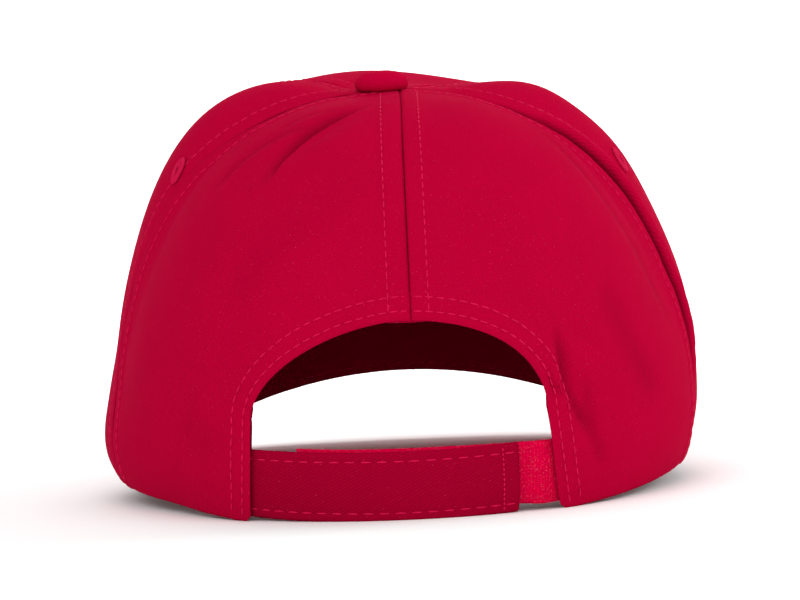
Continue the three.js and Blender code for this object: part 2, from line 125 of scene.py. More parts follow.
# Thickness of the strips of cloth, in millimetres
STRAP_WALL = 1.5
LOOP_WALL = 1.2
BAND_WALL = 0.9
TAPE_WALL = 0.4

# Seam tapes: width, depth in from the crown's outer face, and the seams that they cover
TAPE_WIDTH = 13.0
TAPE_DEPTH = 1.75
TAPES = {
    "centre": 0,
    "left": BACK_SEAM,
    "front_left": FRONT_SEAM,
    "front_right": -FRONT_SEAM,
    "right": -BACK_SEAM,
}

# How many short fibres stand out of the loop strip
FIBRES = 2400

# How far stitches stand out of the cloth, in millimetres, and the size of a stitch, in metres
PROUD = 0.08
BAND_PROUD = 0.06
TAPE_PROUD = 0.05
STITCH_WIDTH = 0.5 / 1000
STITCH_HEIGHT = 0.4 / 1000

# Rows of stitches, in millimetres from an edge
HEM_ROWS = (2.5, 6.5)
STRAP_ROW = 2.6
STRAP_END_ROW = 4.8
PEAK_ROWS = (3.0, 9.5, 16.0, 22.5, 29.0, 35.5, 42.0)
BAND_ROWS = {"hem": 2.3, "top": 3.0}
TAPE_ROW = 2.0

# Each panel's rows at its first and last seam, how far the seams sink in the cloth, and its grain
SEAM_ROWS = {
    "back_panel_left": (6.0, 5.2, 0.6, 0.3, 48),
    "side_panel_left": (5.2, 5.2, 0.3, 0.5, 38),
    "front_panel": (5.2, 5.2, 0.5, 0.5, 0),
    "side_panel_right": (5.2, 5.2, 0.5, 0.6, 14),
    "back_panel_right": (5.2, 4.8, 0.6, 0.5, 0),
}

# The deep groove of the right back seam: height, place and half width of the roll on the side panel's edge,
# how deep and how wide each panel's own edge sinks, and how far the tape is raised behind it
ROLL = (1.3, 3.0, 2.2)
GROOVE_EDGES = {"side_panel_right": ("last", 0.9, 0.8), "back_panel_right": ("first", 1.1, 1.2)}
TAPE_RAISE = 1.3

# Where the groove fades in above the hem and out below the tip, each with its length, and its side reach
GROOVE_FOOT = (20, 22)
GROOVE_HEAD = (26, 30)
GROOVE_REACH = 30

# Eyelets: turn and height share, radii of the embroidery and its ring, how far it stands out, and how many
# stitches it has outwards and round its ring
EYELETS = {"eyelet_left": (87, 0.44), "eyelet_right": (-92, 0.38)}
EYELET_HOLE = 1.3
EYELET_RING = 1.4
EYELET_REACH = 3.6
EYELET_PROUD = 0.45
SPOKES = 44
RING_STITCHES = 20

# Covered button: its outline as radius and height, from the middle of its top to its seat
BUTTON_RADIUS = 7.65
BUTTON_TOP = 5.7
BUTTON_OUTLINE = (
    (0, BUTTON_TOP),
    (2.6, 5.6),
    (4.6, 5.25),
    (6.1, 4.6),
    (7.1, 3.6),
    (BUTTON_RADIUS, 2.5),
    (7.7, 1.5),
    (7.35, 0.6),
    (6.6, 0.1),
    (5.6, 0),
)

# How the cap lies on the floor
REST_TILT = math.radians(5.0306339)
REST_SHIFT = (33.77539, 7.61281)

# The crown's upright sections: turn, power and share of the rim's tuck
SECTIONS = np.array(
    [(0, 2.3, 0.3), (75, 2.5, 0.8), (105, 4.2, 1), (128, 4.2, 0.6), (180, 4.4, 0.3)]
)
POWER, TUCK = 1, 2

# Panels round the crown: from and to in degrees, swell share and the height share where it is most
PANELS = {
    "back_panel_left": (0, BACK_SEAM, 0.48, 0.46),
    "side_panel_left": (BACK_SEAM, FRONT_SEAM, 0.62, 0.46),
    "front_panel": (FRONT_SEAM, 360 - FRONT_SEAM, 1, 0.64),
    "side_panel_right": (360 - FRONT_SEAM, 360 - BACK_SEAM, 0.62, 0.46),
    "back_panel_right": (360 - BACK_SEAM, 360, 0.48, 0.46),
}

# Uneven places of the worn crown: turn, height share, depth share and two half spreads
FORMS = [
    (88, 0.08, 1, 30, 0.12),
    (97, 0.025, 0.9, 24, 0.035),
    (88, 0.125, -0.3, 30, 0.04),
    (56, 0, -0.7, 16, 0.09),
    (-88, 0.1, 0.55, 30, 0.11),
    (-95, 0.18, 0.6, 30, 0.08),
    (130, 0.6, 1, 40, 0.25),
    (105, 0.7, 0.2, 25, 0.12),
    (-100, 0.45, -0.45, 30, 0.16),
    (-112, 0.58, 0.3, 25, 0.1),
    (-150, 0.75, -0.6, 25, 0.15),
]

# Creases from one place to another: depth share and half width in millimetres
CREASES = [
    ((18, 0.8), (38, 0.56), 1, 4.5),
    ((34, 0.68), (52, 0.46), 0.4, 5),
    ((-62, 0.62), (-73, 0.22), 0.8, 3.5),
    ((-30, 0.21), (-38, 0.13), 0.5, 3),
    ((-33, 0.26), (-43, 0.19), 0.4, 3),
]

# Smaller folds creased into the cloth, each with painted shade in its valley: panel, start, end, depth and
# how far they fade to the right and left
FOLDS = [
    ("back_panel_left", (19.5, 0.8), (39, 0.545), 1.3, 0.6, 3.6),
    ("back_panel_left", (39, 0.7), (58, 0.5), 0.45, 0.9, 3.4),
    ("back_panel_left", (31, 0.79), (52, 0.66), 0.25, 0.6, 2.4),
    ("back_panel_left", (22, 0.45), (36, 0.3), 0.15, 5.0, 9.0),
    ("back_panel_left", (47, 0.14), (38, 0.1), 0.2, 6.0, 6.0),
    ("back_panel_right", (-32.0, 0.245), (-35.6, 0.1), 1.0, 2.4, 1.8),
    ("back_panel_right", (-28.8, 0.19), (-31.2, 0.165), 0.7, 1.0, 0.8),
    ("back_panel_right", (-37, 0.17), (-39, 0.05), 0.5, 3.0, 2.2),
    ("back_panel_right", (-47, 0.3), (-56, 0.12), 0.35, 6.0, 6.0),
    ("back_panel_right", (-66, 0.6), (-71, 0.2), 0.4, 4.0, 2.4),
]
FOLD_BOW = 2.2
# How much painted shade a fold's valley gets for each millimetre of its depth
FOLD_SHADE = 0.45

# The opening's edge on each side: side, half width, lean of the ear's foot and the power of the curve
LEFT_EAR = (1, 41.0, 2.2, 1.7)
RIGHT_EAR = (-1, 38.0, 3.2, 2.05)

# Distances of a grid's lines from a sewn edge, and how many lines a panel's grid has between them
NEAR_EDGE = np.array(
    [0, 0.2, 0.45, 0.8, 1.3, 1.9, 2.3, 2.6, 3, 3.7, 4.3, 4.7, 5, 5.4, 5.8, 6.2, 6.6, 7.2, 8.2, 9.6]
)
PANEL_COLUMNS = 56
FRONT_COLUMNS = 84
PANEL_ROWS = 96

# Floor and backdrop, in metres: how far the floor runs, half its width, and the backdrop's height and bend
FLOOR_FRONT = 4.0
FLOOR_BACK = -3.0
FLOOR_SIDE = 5.0
BACKDROP_TOP = 4.0
BACKDROP_BEND = 1.0

# Lamps: name, place in metres, what they aim at, size in metres and power in watts
CAP_MIDDLE = (0, 0.03, 0.05)
LAMPS = (
    ("key", (0.9, 1.5, 1.3), CAP_MIDDLE, 1.2, 9.0),
    ("fill", (-1.2, 1.2, 0.8), CAP_MIDDLE, 1.2, 4.0),
    ("rim", (-1.7, -0.5, 0.9), CAP_MIDDLE, 0.8, 14.0),
    ("front", (0.1, 1.6, 0.35), CAP_MIDDLE, 1.0, 7.0),
    ("top", (0.0, -0.1, 2.2), CAP_MIDDLE, 1.6, 8.0),
    ("backdrop", (0.0, -1.4, 2.6), (0, -4.0, 0.9), 2.5, 130.0),
)
WORLD_LIGHT = 0.62

# Camera: focal length, what it aims at in the rim's frame, its climb above the rim's plane and its roll
LENS = 153.0
AIM = (0.0, 0.0, 47.11)
VIEW_CLIMB = math.radians(7.36)
VIEW_ROLL = math.radians(-2.58)


def smooth(value):
    """A smooth step from 0 to 1."""
    value = np.clip(value, 0, 1)
    return value * value * (3 - 2 * value)


def mix(a, b, share):
    return a + (b - a) * share


def bell(value):
    return np.exp(-np.square(value))


def signed(turn):
    """A turn between -180 and 180 degrees."""
    return (turn + 180) % 360 - 180


def fold(turn):
    """A turn from the centre back, the same on both sides."""
    return np.abs(signed(turn))


def section(turn, column):
    """Reads the table of sections between its rows."""
    at = fold(np.asarray(turn, float))
    after = np.clip(np.searchsorted(SECTIONS[:, 0], at), 1, len(SECTIONS) - 1)
    start, end = SECTIONS[after - 1], SECTIONS[after]
    share = smooth((at - start[..., 0]) / (end[..., 0] - start[..., 0]))
    return mix(start[..., column], end[..., column], share)


def rim_plan(turn):
    tuck = RIM_TUCK * section(turn, TUCK)
    angle = np.radians(turn)
    return (HALF_WIDTH - tuck) * np.sin(angle), (HALF_LENGTH - tuck) * np.cos(angle)


def peak_top(x, y):
    bend = PEAK_BEND_RADIUS - np.sqrt(np.maximum(0, PEAK_BEND_RADIUS**2 - x**2))
    return FRONT_RISE - CLEARANCE + PEAK_SLOPE * (y - rim_plan(180)[1]) - bend


def clear_of_peak(turn, x, y):
    return (peak_top(x, y) + CLEARANCE) * smooth((fold(turn) - RISE_START) / (PEAK_TEMPLE - RISE_START))


def rim_height(turn):
    return clear_of_peak(turn, *rim_plan(turn))


def up_at_climb(turn, climb):
    return 1 - np.maximum(0, 1 - climb * 2 / np.pi) ** (2 / section(turn, POWER))


def up_at_height(turn, z):
    rim = rim_height(turn)
    return up_at_climb(turn, np.arcsin(np.clip((z - rim) / (HEIGHT - rim), -1, 1)))


def up_at_radius(turn, radius):
    return up_at_climb(turn, np.arccos((radius / HALF_WIDTH) ** (section(turn, POWER) / 2)))


def size_at(turn, up):
    """How far the crown has climbed as an angle, and its size as a share of the rim's."""
    power = section(turn, POWER)
    climb = (np.pi / 2) * (1 - np.maximum(0, 1 - up) ** (power / 2))
    return climb, np.maximum(0, np.cos(climb)) ** (2 / power)


def shell(turn, up):
    """The crown before its panels swell and crease."""
    climb, share = size_at(turn, up)
    rim = rim_height(turn)
    z = rim + (HEIGHT - rim) * np.sin(climb)
    tuck = RIM_TUCK * section(turn, TUCK) * np.clip(1 - (z - rim) / RIM_TUCK_HEIGHT, 0, 1) ** 2
    back = BUTTON_BACK * np.maximum(0, np.sin(climb)) ** 2
    x = (HALF_WIDTH * share - tuck) * np.sin(np.radians(turn))
    y = (HALF_LENGTH * share - tuck) * np.cos(np.radians(turn)) + back
    return np.stack(np.broadcast_arrays(x, y, z), -1)


def unit(vectors):
    return vectors / np.maximum(1e-12, np.linalg.norm(vectors, axis=-1, keepdims=True))


def outward(turn, up):
    height = np.minimum(0.95, up)
    across = shell(turn + 0.4, height) - shell(turn - 0.4, height)
    return unit(np.cross(shell(turn, height + 0.004) - shell(turn, height - 0.004), across))


def centre_seam(up):
    """The centre seam's turn at a height: it keeps its distance from the middle."""
    reach = np.clip(SEAM_SIDE / np.maximum(1e-6, HALF_WIDTH * size_at(0, up)[1]), 0, 1)
    return -np.degrees(np.arcsin(reach))


CREASE_LINES = [(shell(*start), shell(*end), depth, spread) for start, end, depth, spread in CREASES]


def crease_at(point):
    sunk = 0
    for start, end, depth, spread in CREASE_LINES:
        line = end - start
        along = (point - start) @ line / (line @ line)
        away = np.linalg.norm(point - start - along[..., None] * line, axis=-1)
        sunk = sunk + CREASE_DEPTH * depth * smooth(1 - np.abs(2 * along - 1)) * bell(away / spread)
    return sunk


def swell_at(turn, up):
    height = np.clip(up / up_at_radius(turn, SEAT_RADIUS), 0, 1)
    near_middle = np.maximum(0, 1 - fold(turn) / BACK_SEAM)
    seam = centre_seam(np.minimum(up, up_at_radius(0, SEAT_RADIUS))) * near_middle
    full = (turn - seam) % 360
    swell = 0
    for start, end, share, crest in PANELS.values():
        across = np.sin(np.pi * np.clip((full - start) / (end - start), 0, 1))
        rise = np.where(height < crest, height / crest, (1 - height) / (1 - crest))
        swell = swell + PANEL_SWELL * share * across * np.sin(np.pi / 2 * rise)
    return swell


def form_at(turn, up):
    below_seat = smooth((1 - up / up_at_radius(turn, SEAT_RADIUS)) * FORM_FADE)
    return sum(
        FORM_DEPTH * depth * below_seat * bell(signed(turn - at) / wide) * bell((up - height) / tall)
        for at, height, depth, wide, tall in FORMS
    )


def crown(turn, up, depth=0.0):
    """A place on the crown, a depth in from its outer face."""
    point = shell(turn, up)
    stand_out = swell_at(turn, up) + form_at(turn, up) - crease_at(point) - depth
    return point + outward(turn, up) * np.asarray(stand_out)[..., None]


def lining(turn, up, depth):
    """A place on what lines the crown, which doesn't follow the panels' swell and creases."""
    return shell(turn, up) + outward(turn, up) * np.asarray(form_at(turn, up) - depth)[..., None]


def turn_and_up(x, z):
    """The turn and height share of a place on the crown's back."""
    turn = np.full(np.shape(x), BAND_END)
    for _ in range(6):
        half_width = shell(turn, up_at_height(turn, z))[..., 0] / np.sin(np.radians(turn))
        turn = np.maximum(0.001, np.degrees(np.arcsin(np.clip(np.abs(x) / half_width, 0, 1))))
    return np.where(x < 0, -turn, turn), up_at_height(turn, z)


def opening_edge(ear, share):
    """The opening's edge, from the arch's top (0) down to the ear's corner (1)."""
    side, half_width, lean, bow = ear
    share = np.asarray(share, float)
    out = np.sin(np.pi / 2 * np.clip(share / ARCH_SHARE, 0, 1)) ** (2 / bow)
    drop = np.clip((share - ARCH_SHARE) / (1 - ARCH_SHARE), 0, 1)
    x = mix(-side * SEAM_SIDE, half_width, out)
    rise = np.maximum(0, 1 - (np.abs(x) / half_width) ** bow) ** (1 / bow)
    z = mix(EAR_HEIGHT + (ARCH_HEIGHT - EAR_HEIGHT) * rise, 0, drop)
    return turn_and_up(x + lean * drop, z)


def bowed(turn, up):
    """A place's turn once the two back seams bow forward between the rim and the button."""
    bow = SEAM_BOW * smooth(up / 0.3) * smooth((0.8 - up) / 0.45)
    return turn + np.sign(signed(turn)) * bow * bell((fold(turn) - BACK_SEAM) / SEAM_BOW_WIDTH)


def ear_turn(ear):
    return float(opening_edge(ear, 1.0)[0])


def to_world(points):
    """Metres on the floor, for millimetres in the rim's frame. Nothing passes through the floor."""
    world = turned(points) + (0, *REST_SHIFT)
    world[..., 2] = np.maximum(world[..., 2], 0)
    return world / 1000


def turned(vectors):
    """Directions of the rim's frame in the world."""
    x, y, z = np.moveaxis(np.asarray(vectors, float), -1, 0)
    lean, rise = math.sin(REST_TILT), math.cos(REST_TILT)
    return np.stack([x, y * rise + z * lean, z * rise - y * lean], -1)


def wander(a, b, size, seed):
    """A soft unevenness between -1 and 1 that is the same each run."""
    dice = random.Random(seed)
    waves = 6
    total = 0
    for _ in range(waves):
        heading = dice.uniform(0, math.pi)
        wave = size * dice.uniform(0.7, 1.6)
        along = a * math.cos(heading) + b * math.sin(heading)
        total = total + np.sin(along * 2 * math.pi / wave + dice.uniform(0, 2 * math.pi))
    return total / waves


def lengths(points, axis):
    """How far along an axis of a grid each of its points lies."""
    steps = np.linalg.norm(np.diff(points, axis=axis), axis=-1)
    start = np.zeros_like(np.take(steps, [0], axis))
    return np.concatenate([start, np.cumsum(steps, axis)], axis)


def grid_lines(length, middle, first=NEAR_EDGE, last=NEAR_EDGE):
    """Distances of a grid's lines, close together at the edges, where the cloth is sewn."""
    scale = min(1, length / (1.4 * (first[-1] + last[-1]) + 1e-9))
    start, end = first * scale, length - last[::-1] * scale
    return np.concatenate([start, np.linspace(start[-1], end[0], middle + 2)[1:-1], end])


class Cloth:
    """A cut of cloth: its grid of points, and how far each lies from its edges in millimetres."""

    def __init__(self, place, columns, rows, turned_in=False):
        share = np.linspace(0, 1, 121)
        fine = place(*np.meshgrid(share, share))
        height = lengths(fine, 0)
        up = np.array([np.interp(rows(h[-1]), h, share) for h in height.T]).T
        across = lengths(place(np.broadcast_to(share, up.shape), up), 1)
        self.s = np.array([np.interp(columns(a[-1]), a, share) for a in across])
        self.t = np.array([np.interp(s, share, row) for s, row in zip(self.s, up)])
        self.base = place(self.s, self.t)
        along, up_along = lengths(self.base, 1), lengths(self.base, 0)
        self.first, self.last = along, along[:, -1:] - along
        self.hem, self.top = up_along, up_along[-1:] - up_along
        normal = unit(np.cross(np.gradient(self.base, axis=0), np.gradient(self.base, axis=1)))
        self.normal = -normal if turned_in else normal
        self.points = self.base
        # How strongly painted shade darkens each point; the folds and the deep groove add to it
        self.shade = np.zeros(self.s.shape)
        self.edge_gap = self.hem
        self.weave = ((self.first - self.last) / 2, self.hem)
        self.area = float(np.sum(along[:, -1][:-1] * np.diff(np.mean(up_along, 1))))
        self.size = (float(along[:, -1].max()), float(up_along[-1].max()))

    def raise_by(self, relief):
        self.points = self.points + self.normal * relief[..., None]

    def gap_to(self, line):
        """Each point's distance from a line on the cloth."""
        nearest = np.full(self.s.shape, np.inf)
        for start, end in zip(line, line[1:]):
            step = end - start
            share = np.clip((self.base - start) @ step / (step @ step), 0, 1)
            away = self.base - start - share[..., None] * step
            nearest = np.minimum(nearest, np.linalg.norm(away, axis=-1))
        return nearest

    def beside(self, line, distance, lift=0.0):
        """Points and normals of a line on the cloth that keeps its distance from another one."""
        points, normals = self.points.reshape(-1, 3), self.normal.reshape(-1, 3)

        def nearest(spots):
            return [np.argmin(np.sum((points - spot) ** 2, -1)) for spot in spots]

        inward = unit(np.cross(normals[nearest(line)], np.gradient(line, axis=0)))
        inward = inward * np.sign(np.sum((points.mean(0) - line) * inward))
        wanted = line + inward * distance
        near = nearest(wanted)
        off = np.sum((wanted - points[near]) * normals[near], -1)
        return wanted - normals[near] * (off - lift)[:, None], normals[near]

    def row(self, edge, distance, lift=0.0):
        """Points and normals of a line that keeps its distance from an edge."""
        gaps, places = getattr(self, edge), np.concatenate([self.points, self.normal], -1)
        if edge in ("hem", "top"):
            gaps, places = gaps.T, places.swapaxes(0, 1)
        found = []
        for gap, line in zip(gaps, places):
            order = np.argsort(gap)
            found.append([np.interp(distance, gap[order], column) for column in line[order].T])
        found = np.array(found)
        normals = unit(found[:, 3:])
        return found[:, :3] + normals * lift, normals


def edged_cloth(place, columns, rows, near, turned_in=False):
    """A cloth whose four edges have the same close grid lines."""
    return Cloth(
        place,
        lambda width: grid_lines(width, columns, near, near),
        lambda height: grid_lines(height, rows, near, near),
        turned_in,
    )


def seam_relief(gap, row, sink):
    """A seam's edge rolls in, its allowance stands out as far as the row, and the stitches sink in."""
    return 0.3 * (1 - smooth((gap - row) / 1.3)) - sink * bell(gap / 0.5) - 0.2 * bell((gap - row) / 0.4)


def fold_relief(cloth, name):
    """Folds whose two sides fade at their own rates, and the painted shade that darkens their valleys."""
    relief = np.zeros_like(cloth.first)
    for panel, start, end, depth, steep, soft in FOLDS:
        if panel != name:
            continue
        low, high = crown(*start), crown(*end)
        line = high - low
        along = (cloth.base - low) @ line / (line @ line)
        middle = ((start[0] + end[0]) / 2, (start[1] + end[1]) / 2)
        across = unit(np.cross(line, outward(*middle)))
        away = (cloth.base - low) @ across - FOLD_BOW * np.sin(np.pi * np.clip(along, 0, 1))
        sides = np.where(away > 0, bell(away / soft), bell(away / steep))
        sides = sides * smooth(3 * (along + 0.15)) * smooth(3 * (1.15 - along))
        relief = relief - depth * sides
        # Painted shade in the fold's valley
        cloth.shade = cloth.shade + FOLD_SHADE * depth * sides**1.5
    return relief


def deep_groove(cloth, gap):
    """How much of the right back seam is a deep groove beside a raised roll."""
    foot = smooth((cloth.hem - GROOVE_FOOT[0]) / GROOVE_FOOT[1])
    head = smooth((cloth.top - GROOVE_HEAD[0]) / GROOVE_HEAD[1])
    return foot * head * (gap < GROOVE_REACH)


def groove_relief(cloth, name):
    """The right back seam's deep groove in a panel beside it, and the painted shade that darkens the
    groove.
    """
    if name not in GROOVE_EDGES:
        return 0
    edge, depth, spread = GROOVE_EDGES[name]
    gap = getattr(cloth, edge)
    groove = deep_groove(cloth, gap)
    sunk = bell(gap / spread)
    # Painted shade, as strong as the groove sinks the panel's edge
    cloth.shade = cloth.shade + groove * sunk
    height, middle, half_width = ROLL
    roll = height * bell((gap - middle) / half_width) if edge == "last" else 0
    return groove * (roll - depth * sunk)


def hem_relief(cloth, along_opening):
    """A hem's edge rolls in, and the rows of stitches along the opening sink in the cloth."""
    if not along_opening:
        return -0.4 * bell(cloth.hem / 0.6)
    gap = cloth.edge_gap
    allowance = 0.3 * (1 - smooth((gap - HEM_ROWS[1]) / 1.2))
    relief = allowance - 0.4 * bell(gap / 0.5) - 0.3 * bell(cloth.hem / 0.5)
    for row in HEM_ROWS:
        relief = relief - 0.18 * bell((gap - row) / 0.4)
    return relief


def unevenness(cloth, seed):
    """Small puckers along the seams and broad soft waves away from them."""
    across, above = cloth.weave
    pucker = bell((np.minimum(cloth.first, cloth.last) - 3) / 4) * smooth(cloth.hem / 6)
    waves = smooth(cloth.top / 12) * smooth(cloth.edge_gap / 10)
    fine = 0.16 * pucker * wander(across, above * 2.2, 14, seed)
    return fine + 0.45 * waves * wander(across, above, 42, seed + 1)


def mesh_from(bm, name):
    """Ends a bmesh as a mesh."""
    mesh = bpy.data.meshes.new(name)
    bm.to_mesh(mesh)
    bm.free()
    return mesh


def cloth_mesh(name, cloth, grain=0.0):
    """A mesh of a cloth's grid, with its weave's coordinates in metres, its distances from the edges and
    its painted shade.
    """
    rows, columns = cloth.points.shape[:2]
    bm = bmesh.new()
    bmesh.ops.create_grid(bm, x_segments=columns - 1, y_segments=rows - 1, size=1)
    for vert, place in zip(bm.verts, to_world(cloth.points).reshape(-1, 3)):
        vert.co = place
    u, v = cloth.weave[0] / 1000, cloth.weave[1] / 1000
    lean, rise = math.sin(math.radians(grain)), math.cos(math.radians(grain))
    weave = np.stack([u * rise + v * lean, v * rise - u * lean], -1).reshape(-1, 2)
    layer = bm.loops.layers.uv.new("weave")
    for face in bm.faces:
        for loop in face.loops:
            loop[layer].uv = weave[loop.vert.index]
        face.smooth = True
    bm.normal_update()
    bm.faces.ensure_lookup_table()
    middle = bm.faces[len(bm.faces) // 2]
    wanted = turned(cloth.normal).reshape(-1, 3)[middle.verts[0].index]
    if middle.normal.dot(Vector(wanted)) < 0:
        bmesh.ops.reverse_faces(bm, faces=bm.faces)
    mesh = mesh_from(bm, name)
    for attribute, values in (
        ("seam_gap", np.minimum(cloth.first, cloth.last)),
        ("hem_gap", np.minimum(cloth.edge_gap, cloth.top)),
        ("shade", np.clip(cloth.shade, 0, 1)),
    ):
        layer = mesh.attributes.new(attribute, "FLOAT", "POINT")
        layer.data.foreach_set("value", values.astype(np.float32).ravel())
    return mesh


def make_piece(name, mesh, *finishes):
    """Puts a mesh in the scene with its finishes."""
    piece = bpy.data.objects.new(name, mesh)
    bpy.context.scene.collection.objects.link(piece)
    for finish in finishes:
        piece.data.materials.append(finish)
    return piece


def thicken(piece, millimetres, inner_material=0):
    """Gives a cloth its wall, inwards from its outer face."""
    wall = piece.modifiers.new("thickness", "SOLIDIFY")
    wall.thickness = millimetres / 1000
    wall.offset = -1
    wall.use_even_offset = False
    wall.material_offset = inner_material


class Thread:
    """Stitches that are gathered into one piece."""

    def __init__(self):
        self.stitches = []

    def stitch(self, start, end, normal, width, height):
        along = end - start
        side = np.cross(normal, along)
        side = side / max(1e-9, np.linalg.norm(side))
        self.stitches.append([side * width / 2, normal * height / 2, along / 2, (start + end) / 2])

    def sew(self, line, pitch=3.1, fill=0.8, skip=0.0, end=0.0):
        """Sews a row of stitches along points and normals in the rim's frame, in millimetres."""
        points, normals = to_world(line[0]), turned(line[1])
        along = lengths(points, 0) * 1000
        count = max(1, round((along[-1] - skip - end) / pitch))
        stops = np.linspace(skip, along[-1] - end, count + 1)

        def at(distance, values):
            return np.array([np.interp(distance, along, column) for column in values.T])

        for start, stop in zip(stops, stops[1:]):
            gap = (stop - start) * (1 - fill) / 2
            start, stop = start + gap, stop - gap
            normal = at((start + stop) / 2, normals)
            self.stitch(at(start, points), at(stop, points), normal, STITCH_WIDTH, STITCH_HEIGHT)

    def finish(self, name, finish):
        """Copies one round stitch until there are enough, then lays each copy in its place."""
        bm = bmesh.new()
        bmesh.ops.create_uvsphere(bm, u_segments=6, v_segments=4, radius=1)
        ball = mesh_from(bm, "stitch")
        bm = bmesh.new()
        for _ in self.stitches:
            bm.from_mesh(ball)
        bpy.data.meshes.remove(ball)
        for face in bm.faces:
            face.smooth = True
        mesh = mesh_from(bm, name)
        balls = np.empty(len(mesh.vertices) * 3, np.float32)
        mesh.vertices.foreach_get("co", balls)
        frames = np.array(self.stitches)
        places = np.einsum("kvi,kij->kvj", balls.reshape(len(frames), -1, 3), frames[:, :3]) + frames[:, 3:]
        mesh.vertices.foreach_set("co", places.astype(np.float32).ravel())
        return make_piece(name, mesh, finish)


# Finishes

# Colours of what lies on the cloth: grazing light in its nap, lint, brushed loops and loose fibres
PINK_EDGE = (1, 0.1, 0.42, 1)
PALE_EDGE = (1, 0.25, 0.4, 1)
LINT = (0.75, 0.08, 0.16, 1)
LOOP_TIPS = (0.85, 0.16, 0.26, 1)
FIBRE = (0.8, 0.06, 0.13)

# Length of a twill's floats in millimetres, and how fine its uneven yarns are across and along
YARN = 0.62
YARN_FINE = 2600.0
YARN_LONG = 90.0


class Value:
    """A number in a material's nodes, so that shader maths reads as an expression."""

    def __init__(self, paint, socket):
        self.paint = paint
        self.socket = socket

    def __add__(self, other):
        return self.paint.math("ADD", self, other)

    def __mul__(self, other):
        return self.paint.math("MULTIPLY", self, other)

    def __sub__(self, other):
        return self.paint.math("SUBTRACT", self, other)

    def __rsub__(self, other):
        return self.paint.math("SUBTRACT", other, self)

    def __truediv__(self, other):
        return self.paint.math("DIVIDE", self, other)

    def __rtruediv__(self, other):
        return self.paint.math("DIVIDE", other, self)

    __radd__ = __add__
    __rmul__ = __mul__

    def within(self, low, high):
        """0 below low and 1 above high, with a smooth rise between them."""
        smoothstep = {"interpolation_type": "SMOOTHSTEP"}
        sockets = {"Value": self, "From Min": low, "From Max": high}
        return self.paint.node("ShaderNodeMapRange", smoothstep, sockets)


class Paint:
    """A material that is painted with nodes."""

    def __init__(self, name):
        self.material = bpy.data.materials.new(name)
        self.material.use_nodes = True
        self.tree = self.material.node_tree
        self.tree.nodes.clear()

    def node(self, kind, settings=None, sockets=None, output=0):
        made = self.tree.nodes.new(kind)
        for key, value in (settings or {}).items():
            setattr(made, key, value)
        for key, value in (sockets or {}).items():
            if isinstance(value, Value):
                self.tree.links.new(value.socket, made.inputs[key])
            else:
                made.inputs[key].default_value = value
        return Value(self, made.outputs[output]) if made.outputs else None

    def math(self, operation, *values):
        return self.node("ShaderNodeMath", {"operation": operation}, dict(enumerate(values)))

    def sine(self, value):
        return self.math("SINE", value * (2 * math.pi))

    def blend(self, a, b, share):
        """Mixes two colours. A Mix node's colours are its inputs 6 and 7 and its output 2."""
        return self.node("ShaderNodeMix", {"data_type": "RGBA"}, {"Factor": share, 6: a, 7: b}, 2)

    def weave(self):
        """The cloth's own coordinates, in metres."""
        return self.node("ShaderNodeUVMap", {"uv_map": "weave"})

    def attribute(self, name):
        """A number that the mesh carries, which is an Attribute node's output 2."""
        return self.node("ShaderNodeAttribute", {"attribute_name": name}, None, 2)

    def noise(self, vector, scale, detail=2.0, roughness=0.5):
        sockets = {"Vector": vector, "Scale": scale, "Detail": detail, "Roughness": roughness}
        return self.node("ShaderNodeTexNoise", None, sockets)

    def split(self, vector):
        """The first two of a vector's numbers."""
        return [self.node("ShaderNodeSeparateXYZ", None, {0: vector}, output) for output in range(2)]

    def join(self, x, y, z=0.0):
        return self.node("ShaderNodeCombineXYZ", None, {"X": x, "Y": y, "Z": z})

    def end(self, sockets):
        """Ends the material with its surface."""
        surface = self.node("ShaderNodeBsdfPrincipled", None, sockets)
        self.node("ShaderNodeOutputMaterial", None, {"Surface": surface})
        return self.material

    def surface(self, colour, height, depth, roughness=0.9, sheen=0.07, tint=PINK_EDGE, gloss=0.006):
        """Ends the material as cloth whose relief is a depth in metres."""
        bump = self.node("ShaderNodeBump", None, {"Height": height, "Distance": depth, "Strength": 1.0})
        sockets = {"Base Color": colour, "Roughness": roughness, "Normal": bump}
        sockets |= {"Sheen Weight": sheen, "Sheen Roughness": 0.16, "Sheen Tint": tint}
        return self.end(sockets | {"Specular IOR Level": gloss})


def shade(colour, factor):
    """A paler or darker colour, as red, green, blue and alpha."""
    return (*(min(1, c * factor) for c in colour[:3]), 1)


def twill(paint, weave, angle, rib):
    """The height of a twill's ribs between 0 and 1, from coordinates in metres and the ribs' own angle."""
    u, v = paint.split(weave)
    side, ahead = 1000 * math.sin(angle), 1000 * math.cos(angle)
    loose = paint.noise(weave, 220.0, 1.0) * 0.16
    across = (u * -side + v * ahead) / rib + loose
    along = (u * ahead + v * side) / YARN
    rib_height = paint.sine(across) * 0.5 + 0.5
    floats = paint.sine(along + paint.math("FLOOR", across + 0.25) * 0.5) * 0.5 + 0.5
    return rib_height * (floats * 0.32 + 0.68)


